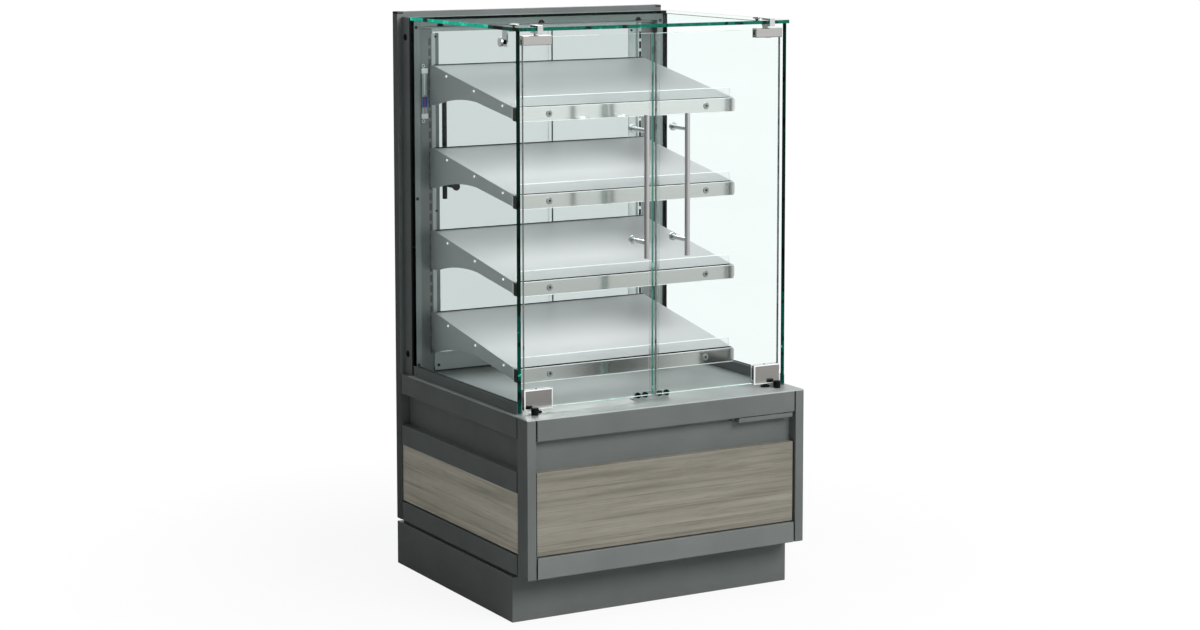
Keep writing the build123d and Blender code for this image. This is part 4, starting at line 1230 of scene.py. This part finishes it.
        self.shop.build(f"plugs_{letter}", fill, ["rubber"], "black_plastic")
        jamb = low("rear_tracks").y + self.jamb_screw_back
        rows = (("lining", self.flange_place, front, self.flange_heights, self.screw_radii[0]),
                ("jamb", self.jamb_screw_place, jamb, self.jamb_heights, self.screw_radii[1]))
        for name, place, y, heights, radius in rows:
            points = [(side * place, y, z) for z in heights]
            self.shop.screws(f"{name}_screws_{letter}", points, Facing.FRONT, radius, "plastic")

    def assemble(self) -> None:
        """Build everything."""
        self.sheets()
        self.shop.build("notch_linings", self.notches, ["gap"], "black_plastic")
        self.shop.build("portal_caps", self.caps, ["plastic"], "black_plastic", bevel=self.cap_edge)
        for side, letter in SIDES:
            self.plugs(side, letter)
        place, height = self.panel_screw
        points = [(side * place, low("back_panel").y, height) for side, _ in SIDES]
        self.shop.screws("panel_screws", points, Facing.FRONT, self.screw_radii[2], "plastic")


@dataclass
class Glazing:
    """Panes of the glass box and of the doors, with their green edges painted lighter and darker, some
    glowing, as light and shade on each edge.
    """

    shop: Workshop
    arris: float = 0.0005
    flat: float = 0.97
    sharp: float = 20.0
    # Depth of each side pane's faces along its front edge that are painted dark with the edge, as shade
    front_shade_depth: float = 0.0032
    lap_shift: float = 0.0072
    lit_from: float = -0.16
    green_below: float = 0.70
    front_depth: float = 0.012
    meeting: float = 0.006
    left_part: float = 0.1

    def pane(self, node: str, body: str, finishes: Sequence[str],
             cut: tuple[Vector, Vector] | None = None, split: Vector | None = None) -> None:
        """Replace a pane by one with ground edges.

        Args:
            node: The CAD node.
            body: The body that it rides on.
            finishes: Of its faces, its edges, its second edges, and the strip beyond the cut.
            cut: Point and direction of a plane that parts its faces.
            split: Point of a plane at which its edges change finish, square to the line from the origin.
        """
        size = high(node) - low(node)
        thin = min(range(3), key=lambda axis: size[axis])
        bm = clean_copy(node)
        if cut is not None:
            part_faces(bm, *cut)
        if split is not None:
            part_faces(bm, split, split.normalized())
        bevel_sharp(bm, self.arris, 1)
        bm.normal_update()
        for face in bm.faces:
            if abs(face.normal[thin]) <= self.flat:
                face.material_index = self.rim(node, face)
            else:
                beyond = cut is not None and (face.calc_center_median() - cut[0]).dot(cut[1]) > 0
                face.material_index = 3 if beyond else 0
        self.shop.replace(node, bm, finishes, body, node + "_pane", self.sharp)

    def rim(self, node: str, face: bmesh.types.BMFace) -> int:
        """Finish of an edge face: 1 for the usual edge, 2 for the second one, 3 for the strip, 0 for clear.

        Args:
            node: The pane's node.
            face: The edge face.

        Returns:
            The material index.
        """
        centre, normal = face.calc_center_median(), face.normal
        if node == "top_glass":
            if max(normal.x, normal.y) > SQUARE:
                return 0
            return 2 if normal.x < -LEANING and centre.y > self.lit_from else 1
        if node == "rear_fixed_glass":
            return 2 if centre.x < self.left_part and abs(normal.x) > SQUARE else 1
        if node == "rear_door_glass":
            return 1
        if node.startswith("side"):
            return 2 if centre.y < low(node).y + self.front_depth and centre.z < self.green_below else 1
        if abs(normal.z) > LEANING:
            return 2
        return 3 if abs(centre.x) < self.meeting else 1

    def assemble(self) -> None:
        """Build every pane."""
        # Side panes: edges and the faces along the front edge painted dark as shade, the low front edge
        # greener with glints as painted light
        for node in ("side_glass_l", "side_glass_r"):
            front = (Vector((0.0, low(node).y + self.front_shade_depth, 0.0)), Vector((0.0, -1.0, 0.0)))
            self.pane(node, CASE, ("glass", "dark_edge", "low_edge", "dark_edge"), front,
                      Vector((0.0, 0.0, self.green_below)))
        lit = Vector((0.0, self.lit_from, 0.0))
        self.pane("top_glass", CASE, ("top", "edge", "lit_edge", "bare"), split=lit)
        self.pane("rear_fixed_glass", CASE, ("rear", "grey_edge", "bare", "bare"))
        lap = (Vector((low("rear_fixed_glass").x + self.lap_shift, 0.0, 0.0)), Vector((1.0, 0.0, 0.0)))
        self.pane("rear_door_glass", "rear_door", ("rear", "grey_edge", "pale_edge", "bare"), lap)
        self.pane("door_glass_l", "door_left", ("glass", "grey_edge", "pale_edge", "mint_edge"))
        self.pane("door_glass_r", "door_right", ("glass", "dim_edge", "pale_edge", "grey_edge"))


@dataclass
class DoorFittings:
    """Patches, clamps, pivots, handles, seals, stops and the catch."""

    shop: Workshop
    edge: float = 0.0008
    soft_edge: float = 0.0004
    seal_edge: float = 0.0003
    catch_edge: float = 0.0005
    rim_width: float = 0.0016
    face_area: float = 0.0005
    lower_part: float = 0.1
    seal_border: float = 0.0095
    catch_gap: float = 0.0065

    def border(self, face: bmesh.types.BMFace) -> int:
        """White line painted along the outer border of a clear seal, as a highlight.

        Args:
            face: A face of the seal.

        Returns:
            1 on the border, 0 elsewhere.
        """
        return int(abs(face.normal.x) > LEANING and abs(face.calc_center_median().x) > self.seal_border)

    def patches(self, node: str, body: str) -> None:
        """Hinge patches with a painted highlight round the face of the lower one and on its slanted faces.

        Args:
            node: The patches' node.
            body: The door that they ride on.
        """
        bm = clean_copy(node)
        top = low(node).z + self.lower_part
        fronts = []
        for face in bm.faces:
            lower = face.calc_center_median().z < top
            face.material_index = int(lower and max(abs(c) for c in face.normal) < SQUARE)
            if lower and face.normal.y < -SQUARE and face.calc_area() > self.face_area:
                fronts.append(face)
        rims = bmesh.ops.inset_region(bm, faces=fronts, thickness=self.rim_width, use_even_offset=True)
        for face in rims["faces"]:
            face.material_index = 1
        self.shop.replace(node, bm, ("satin", "bright"), body)

    def catch(self) -> None:
        """Catch angle with black buffers."""
        bm = clean_copy("catch_bracket")
        bevel_sharp(bm, self.catch_edge)
        plate = high("door_glass_l").y + self.catch_gap
        for face in bm.faces:
            face.material_index = int(face.calc_center_median().y < plate)
        self.shop.replace("catch_bracket", bm, ("deck", "gap"), name="catch_dressed")

    def assemble(self) -> None:
        """Build everything."""
        dress = self.shop.dress
        for letter, body in (("l", "door_left"), ("r", "door_right")):
            self.patches(f"door_patches_{letter}", body)
            dress(f"door_handle_{letter}", "bar", body=body, bevel=self.edge)
            dress(f"door_seal_{letter}", "seal", "bright", body=body, bevel=self.seal_edge,
                  pick=self.border)
        dress("rear_handle", "plastic", body="rear_door", bevel=self.edge)
        for node in ("top_clamps", "glass_connectors"):
            dress(node, "polished", bevel=self.edge)
        for node in ("bottom_pivots", "door_stops"):
            dress(node, "rubber", bevel=self.soft_edge)
        self.catch()


@dataclass
class Shelves:
    """Four sloping shelves with their rails, caps, stops and rivets."""

    shop: Workshop
    count: int = 4
    pitch: float = 0.2
    front: float = -0.364
    pan_half: float = 0.2914
    pan_edge: float = 0.0003
    rail_edge: float = 0.0005
    heater_edge: float = 0.0006
    lip_front: float = 0.250
    lip_turn: float = 0.8
    rivet_radius: float = 0.0028
    rivet_face: float = 0.2935
    rivet_places: tuple[Span, ...] = ((0.5446, 1.2028), (0.3998, 1.1776), (0.255, 1.1537))
    rivet_head: Span = (0.0010, 0.0016)
    screw_radius: float = 0.0080
    screw_place: float = 0.210
    screw_head: Span = (0.0008, 0.0016)
    cap_inner: float = 0.2884
    cap_outer: Span = (0.2938, 0.2900)
    cap_depths: Span = (0.003, 0.0190)
    cap_margin: float = 0.002
    cap_edge: float = 0.001
    rim: float = 0.0016
    rim_back: float = 0.0012
    gap_back: float = 0.0015
    face_depth: float = 0.003
    end_width: float = 0.004
    end_turn: float = 0.25
    rim_turn: float = 0.5
    top_turn: float = 0.95
    stop_rim: float = 0.0013

    def pan_part(self, face: bmesh.types.BMFace) -> int:
        """Part of a shelf that a face belongs to.

        Args:
            face: The face.

        Returns:
            0 for the pan, 1 for a bracket, 2 for the front of the rear lip, painted black as the shadow
            line at the lip.
        """
        centre = face.calc_center_median()
        if abs(centre.x) > self.pan_half:
            return 1
        return 2 if centre.y > self.lip_front and face.normal.y < -self.lip_turn else 0

    def shelf(self, number: int) -> None:
        """One shelf with its rail.

        Args:
            number: Counted from the top, from 1.
        """
        drop = (number - 1) * self.pitch
        rail = f"price_rail_{number}"
        self.shop.dress(f"shelf_{number}", "shelf", "bracket", "gap", bevel=self.pan_edge,
                        pick=self.pan_part)
        self.rail(rail)
        lowest, highest = low(rail), high(rail)
        for side, letter in SIDES:
            points = [(side * self.rivet_face, y + self.front, z - drop) for y, z in self.rivet_places]
            self.shop.screws(f"rivets_{number}_{letter}", points, Facing.outward(side), self.rivet_radius,
                             "rivet", *self.rivet_head, "rivet")
        points = [(side * self.screw_place, lowest.y, (lowest.z + highest.z) / 2) for side, _ in SIDES]
        self.shop.screws(f"rail_screws_{number}", points, Facing.FRONT, self.screw_radius, "fastener",
                         *self.screw_head)

        def caps(bm: Solid) -> None:
            """Black end blocks between the rail and the bracket."""
            front, back = (lowest.y + depth for depth in self.cap_depths)
            for (side, _), outer in zip(SIDES, self.cap_outer):
                xs = sorted((side * self.cap_inner, side * outer))
                add_block(bm, (xs[0], front, lowest.z + self.cap_margin),
                          (xs[1], back, highest.z - self.cap_margin))

        self.shop.build(f"rail_caps_{number}", caps, ["plastic"], "black_plastic", bevel=self.cap_edge)

    def rail(self, node: str) -> None:
        """Ticket rail with painted highlights on its rims and ends, and its top painted black as the shade
        of a gap.

        Args:
            node: The rail's node.
        """
        top, foot, front = high(node).z - self.rim, low(node).z + self.rim, low(node).y

        def pick(face: bmesh.types.BMFace) -> int:
            """Face, painted highlight or painted shade."""
            centre, normal = face.calc_center_median(), face.normal
            if abs(centre.x) > self.pan_half - self.end_width and abs(normal.x) > self.end_turn:
                return 1
            edge = centre.y < front + self.face_depth and not foot <= centre.z <= top
            if edge and abs(normal.x) < self.rim_turn:
                return 1 if normal.z < self.top_turn or centre.y < front + self.gap_back else 2
            return 2 if normal.z > SQUARE and centre.z > top else 0

        cuts = ((2, top), (2, foot), (1, front + self.rim_back))
        self.shop.dress(node, "ticket", "bright", "gap", bevel=self.rail_edge, pick=pick, cuts=cuts)

    def assemble(self) -> None:
        """Build every shelf."""
        for number in range(1, self.count + 1):
            self.shelf(number)
        wide = high("shelf_stops").x - self.stop_rim
        tops = [high("shelf_stops").z - self.pitch * number for number in range(self.count)]

        def rim(face: bmesh.types.BMFace) -> int:
            """Clear sheet with a painted highlight along its top and sides."""
            centre = face.calc_center_median()
            return int(abs(face.normal.y) < SQUARE or abs(centre.x) > wide
                       or any(0.0 <= top - centre.z < self.stop_rim for top in tops))

        cuts = [(0, -wide), (0, wide)] + [(2, top - self.stop_rim) for top in tops]
        self.shop.dress("shelf_stops", "clear", "stop_painted_highlight", bevel=self.pan_edge, pick=rim, cuts=cuts)
        self.shop.dress("shelf_heaters", "heater", bevel=self.heater_edge)


@dataclass
class Thermometer:
    """Flat tube thermometer with white ends, a blue band and a red column."""

    shop: Workshop
    foot: float = 1.0957
    top: float = 1.2169
    cap: float = 0.0120
    band: Span = (1.1230, 1.1486)
    column_top: float = 1.1546
    column: float = 0.0008
    tube: float = 0.0009
    axes: Span = (0.0012, 0.0019)
    lap: float = 0.002
    sides: int = 14
    shares: tuple[float, float, float, float] = (0.70, 0.92, 0.68, 0.60)
    fronts: tuple[float, float, float] = (0.0020, 0.0003, 0.0014)
    band_back: float = 0.0026
    plate_margin: float = 0.006
    ticks: int = 31
    long_every: int = 5
    tick_lengths: Span = (0.0022, 0.0034)
    tick_depths: Span = (0.0016, 0.0022)
    tick_half: float = 0.0002
    tick_margin: float = 0.004
    eye_margin: float = 0.0047
    eye_left: float = 0.003
    eye: Span = (0.0036, 0.0008)

    def fill(self, bm: Solid) -> None:
        """Scale plate, two end caps, tube, band, column, ticks and two wire eyes.

        Args:
            bm: The mesh to fill.
        """
        lowest, highest = low("thermometer"), high("thermometer")
        x, y, back = (lowest.x + highest.x) / 2, lowest.y, highest.y
        plate, cap, band, tick = ((highest.x - lowest.x) / 2 * share for share in self.shares)
        plate_y, cap_y, band_y = (y + step for step in self.fronts)
        foot, top = self.foot, self.top
        add_block(bm, (x - plate, plate_y, foot + self.plate_margin),
                  (x + plate, back, top - self.plate_margin), 1)
        for z in (foot, top - self.cap):
            add_block(bm, (x - cap, cap_y, z), (x + cap, back, z + self.cap), 0)
        add_block(bm, (x - band, band_y, self.band[0]), (x + band, y + self.band_back, self.band[1]), 2)
        inner_foot, inner_top = foot + self.cap, top - self.cap
        for axis, start, end, radius, index in ((self.axes[0], inner_foot, self.column_top, self.column, 3),
                                                (self.axes[1], self.column_top, inner_top, self.tube, 0)):
            add_turned(bm, (x, y + axis, start - self.lap), Matrix.Identity(4),
                       ((radius, 0.0), (radius, end - start)), self.sides, index)
        run = inner_top - inner_foot - 2 * self.tick_margin
        for step in range(self.ticks):
            z = inner_foot + self.tick_margin + step * run / (self.ticks - 1)
            length = self.tick_lengths[step % self.long_every == 0]
            add_block(bm, (x + tick - length, y + self.tick_depths[0], z - self.tick_half),
                      (x + tick, y + self.tick_depths[1], z + self.tick_half), 4)
        for z in (lowest.z + self.eye_margin, highest.z - self.eye_margin):
            add_ring(bm, (x - self.eye_left, (y + back) / 2, z), *self.eye)

    def assemble(self) -> None:
        """Build it over its CAD node."""
        finishes = ("white", "scale", "blue", "red", "plastic")
        made = self.shop.build("thermometer_dressed", self.fill, finishes)
        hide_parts("thermometer")


@dataclass
class ServiceSide:
    """Rear panel, control box, knob and rocker."""

    shop: Workshop
    edge: float = 0.0004
    knob_edge: float = 0.0006
    switch_edge: float = 0.0005
    screw_margin: float = 0.018
    screw_radius: float = 0.0045
    mark_half: float = 0.0008
    mark_y: Span = (-0.0004, 0.0003)
    mark_z: Span = (0.004, 0.016)
    dial_radius: float = 0.026
    dial_count: int = 11
    dial_start: float = -135.0
    dial_step: float = 27.0
    dial_tick: tuple[Colour, Colour] = ((-0.0005, -0.0002, -0.0025), (0.0005, 0.0003, 0.0025))

    def knob(self) -> Vector:
        """Middle of the knob."""
        return (low("thermostat_knob") + high("thermostat_knob")) / 2

    def mark(self, bm: Solid) -> None:
        """White pointer on the knob.

        Args:
            bm: The mesh to fill.
        """
        knob, top = self.knob(), high("thermostat_knob").y
        add_block(bm, (knob.x - self.mark_half, top + self.mark_y[0], knob.z + self.mark_z[0]),
                  (knob.x + self.mark_half, top + self.mark_y[1], knob.z + self.mark_z[1]))

    def dial(self, bm: Solid) -> None:
        """Tick marks round the knob.

        Args:
            bm: The mesh to fill.
        """
        knob, face = self.knob(), high("service_panel").y
        for step in range(self.dial_count):
            turn = math.radians(self.dial_start + self.dial_step * step)
            centre = Vector((knob.x + self.dial_radius * math.sin(turn), face,
                             knob.z + self.dial_radius * math.cos(turn)))
            place = Matrix.Translation(centre) @ Matrix.Rotation(turn, 4, "Y")
            bmesh.ops.transform(bm, matrix=place, verts=add_block(bm, *self.dial_tick))

    def assemble(self) -> None:
        """Build everything."""
        for node, finish, body, edge in (("service_panel", "base", CASE, self.edge),
                                         ("control_box", "shelf", CASE, self.edge),
                                         ("thermostat_knob", "plastic", "thermostat", self.knob_edge),
                                         ("power_switch", "plastic", "switch", self.switch_edge)):
            self.shop.dress(node, finish, body=body, bevel=edge)
        lowest, highest, margin = low("service_panel"), high("service_panel"), self.screw_margin
        points = [(x, highest.y, z) for x in (lowest.x + margin, 0.0, highest.x - margin)
                  for z in (lowest.z + margin, highest.z - margin)]
        self.shop.screws("service_screws", points, Facing.REAR, self.screw_radius, "bar")
        self.shop.build("knob_pointer", self.mark, ["white"], "white_plastic", "thermostat")
        self.shop.build("dial_ticks", self.dial, ["white"], "white_plastic")


@dataclass(frozen=True)
class Lamp:
    """Soft area lamp, with the point that it lights, its width and height, and its watts."""

    name: str
    place: Place
    aim: Place
    size: Span
    power: float

    def hang(self) -> None:
        """Put it in the scene, unseen by the camera."""
        data = bpy.data.lights.new(self.name, "AREA")
        data.shape = "RECTANGLE"
        data.size, data.size_y = self.size
        data.energy = self.power
        made = bpy.data.objects.new(self.name, data)
        made.visible_camera = False
        made.location = self.place
        made.rotation_euler = (Vector(self.aim) - Vector(self.place)).to_track_quat("-Z", "Y").to_euler()
        bpy.context.scene.collection.objects.link(made)


@dataclass
class Studio:
    """Floor, lamps, background and camera."""

    lens: float = 78.18
    sensor: float = 36.0
    clip: Span = (0.1, 100.0)
    shift: Span = (-0.01725, -0.12358)
    azimuth: float = -29.875
    elevation: float = 6.148
    camera_place: Colour = (-3.01234, -5.38311, 1.65263)
    key: Lamp = Lamp("key", (1.1, -4.3, 3.2), (0.0, 0.0, 0.7), (2.6, 2.0), 200.0)
    top: Lamp = Lamp("top", (0.3, -0.6, 3.8), (0.0, 0.0, 0.9), (2.4, 2.4), 22.0)
    back: Lamp = Lamp("back", (0.9, 3.6, 2.4), (0.0, 0.0, 0.9), (2.4, 1.8), 20.0)
    glows: int = 4
    glow_pitch: float = 0.2
    glow_place: Colour = (-0.02, -0.03, 1.1409)
    glow_aim: Colour = (0.0, 0.0163, -0.0987)
    glow_size: Span = (0.50, 0.18)
    glow_power: float = 0.36
    white: float = 1.02
    ambient: Colour = (0.27, 0.28, 0.28)
    lean: Colour = (0.75, 0.20, 0.30)
    lean_range: Span = (0.7, 0.5)
    mirrored: tuple[Span, Span, Span] = ((0.22, 0.20), (0.50, 0.62), (0.78, 1.0))
    cast: Colour = (0.97, 1.0, 1.0)
    floor_half: float = 15.0
    floor_drop: float = -0.0005
    floor_grey: Colour = (0.80, 0.80, 0.80)
    shadow_reach: Span = (0.7, 1.7)
    shadow_shares: Span = (0.88, 1.0)
    bright_side: Colour = (0.8, -0.6, 0.0)
    bright_reach: Span = (-0.85, 0.3)
    bright_shares: Span = (0.25, 1.0)
    strip_side: Colour = (0.8862, 0.4633, 0.0)
    strip_reach: Span = (0.10, 0.17)
    strip_end: Span = (0.23, 0.29)
    rings: Stops = ((0.10, (0.12, 0.125, 0.123)), (0.15, (0.18, 0.185, 0.183)), (0.195, (0.52, 0.52, 0.51)),
                    (0.37, (0.62, 0.62, 0.61)), (0.66, (0.66, 0.66, 0.65)), (0.77, (1.0, 1.0, 0.99)))

    def camera(self) -> None:
        """Camera at the photograph's angle."""
        data = bpy.data.cameras.new("camera")
        data.lens = self.lens
        data.sensor_width = self.sensor
        data.sensor_fit = "HORIZONTAL"
        data.shift_x, data.shift_y = self.shift
        data.clip_start, data.clip_end = self.clip
        made = bpy.data.objects.new("camera", data)
        bpy.context.scene.collection.objects.link(made)
        turn, rise = math.radians(self.azimuth), math.radians(self.elevation)
        back = Vector((math.sin(turn) * math.cos(rise), -math.cos(turn) * math.cos(rise), math.sin(rise)))
        made.location = self.camera_place
        made.rotation_euler = (-back).to_track_quat("-Z", "Y").to_euler()
        bpy.context.scene.camera = made

    def lamps(self) -> None:
        """Key from the front right, fill from above and behind, and a faint glow under each shelf."""
        for lamp in (self.key, self.top, self.back):
            lamp.hang()
        x, y, z = self.glow_place
        for number in range(self.glows):
            place = Vector((x, y, z - self.glow_pitch * number))
            aim = place + Vector(self.glow_aim)
            Lamp(f"shelf_glow_{number + 1}", place, aim, self.glow_size, self.glow_power).hang()

    def world(self) -> None:
        """White for the eye, soft for light, and lighter on one side in reflections."""
        world = bpy.data.worlds.new("studio")
        world.use_nodes = True
        tree = Tree(world.node_tree)
        white = tree.put("ShaderNodeBackground", Color=(1.0, 1.0, 1.0, 1.0), Strength=self.white)
        soft = tree.put("ShaderNodeBackground", Color=(*self.ambient, 1.0))
        lean = tree.along(tree.put("ShaderNodeTexCoord", "Generated"), self.lean)
        stops = [(position, tone(self.cast, value)) for position, value in self.mirrored]
        mirror = tree.put("ShaderNodeBackground",
                          Color=tree.ramp(tree.math("MULTIPLY_ADD", lean, *self.lean_range), stops))
        tree.node("ShaderNodeOutputWorld", Surface=tree.by_ray(soft, mirror, white))
        bpy.context.scene.world = world

    def floor(self) -> None:
        """Floor that is white for the eye apart from a soft shadow.

        In reflections it is darker near the case, at its left rear, and in a strip to its front right.
        """
        bm = bmesh.new()
        half = self.floor_half
        bm.faces.new([bm.verts.new((x, y, self.floor_drop))
                      for x, y in ((-half, -half), (half, -half), (half, half), (-half, half))])
        paint = Paint("studio_floor")
        place = paint.put("ShaderNodeTexCoord", "Object")
        away = paint.put("ShaderNodeVectorMath", "Value", operation="LENGTH", at0=place)
        plain = paint.put("ShaderNodeBsdfDiffuse", Color=(*self.floor_grey, 1.0))
        shine = paint.put("ShaderNodeEmission", Strength=self.white)
        seen = paint.blend(paint.spread(away, self.shadow_shares, self.shadow_reach), plain, shine)
        reach = paint.spread(away, (0.0, 1.0), (0.0, half))
        side = paint.put("ShaderNodeVectorMath", operation="NORMALIZE", at0=place)
        share = paint.spread(paint.along(side, self.bright_side), self.bright_shares, self.bright_reach)
        off = paint.math("ABSOLUTE", paint.along(place, self.strip_side))
        strip = paint.math("MAXIMUM", paint.spread(off, (0.0, 1.0), self.strip_reach),
                           paint.spread(reach, (0.0, 1.0), self.strip_end))
        glow = paint.put("ShaderNodeEmission", Strength=paint.math("MULTIPLY", share, strip),
                         Color=paint.ramp(reach, self.rings))
        finish_mesh("floor", bm, [paint.surface(paint.by_ray(plain, glow, seen))])

    def assemble(self) -> None:
        """Build the studio."""
        bpy.context.scene.view_settings.view_transform = "Standard"
        self.camera()
        self.lamps()
        self.world()
        self.floor()


def main() -> None:
    """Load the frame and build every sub-assembly in order."""
    logging.basicConfig(level=logging.INFO, format="%(name)s: %(message)s")
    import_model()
    shop = Workshop(Finishes(), Repeater("fastener_heads"))
    Studio().assemble()
    for section in (Base(shop), RearFrame(shop), Glazing(shop), DoorFittings(shop), Shelves(shop),
                    Thermometer(shop), ServiceSide(shop)):
        known = set(bpy.data.objects.keys())
        section.assemble()
        for piece in sorted(set(bpy.data.objects.keys()) - known):
            LOG.info("%s: %s", type(section).__name__, piece)


if __name__ == "__main__":
    main()
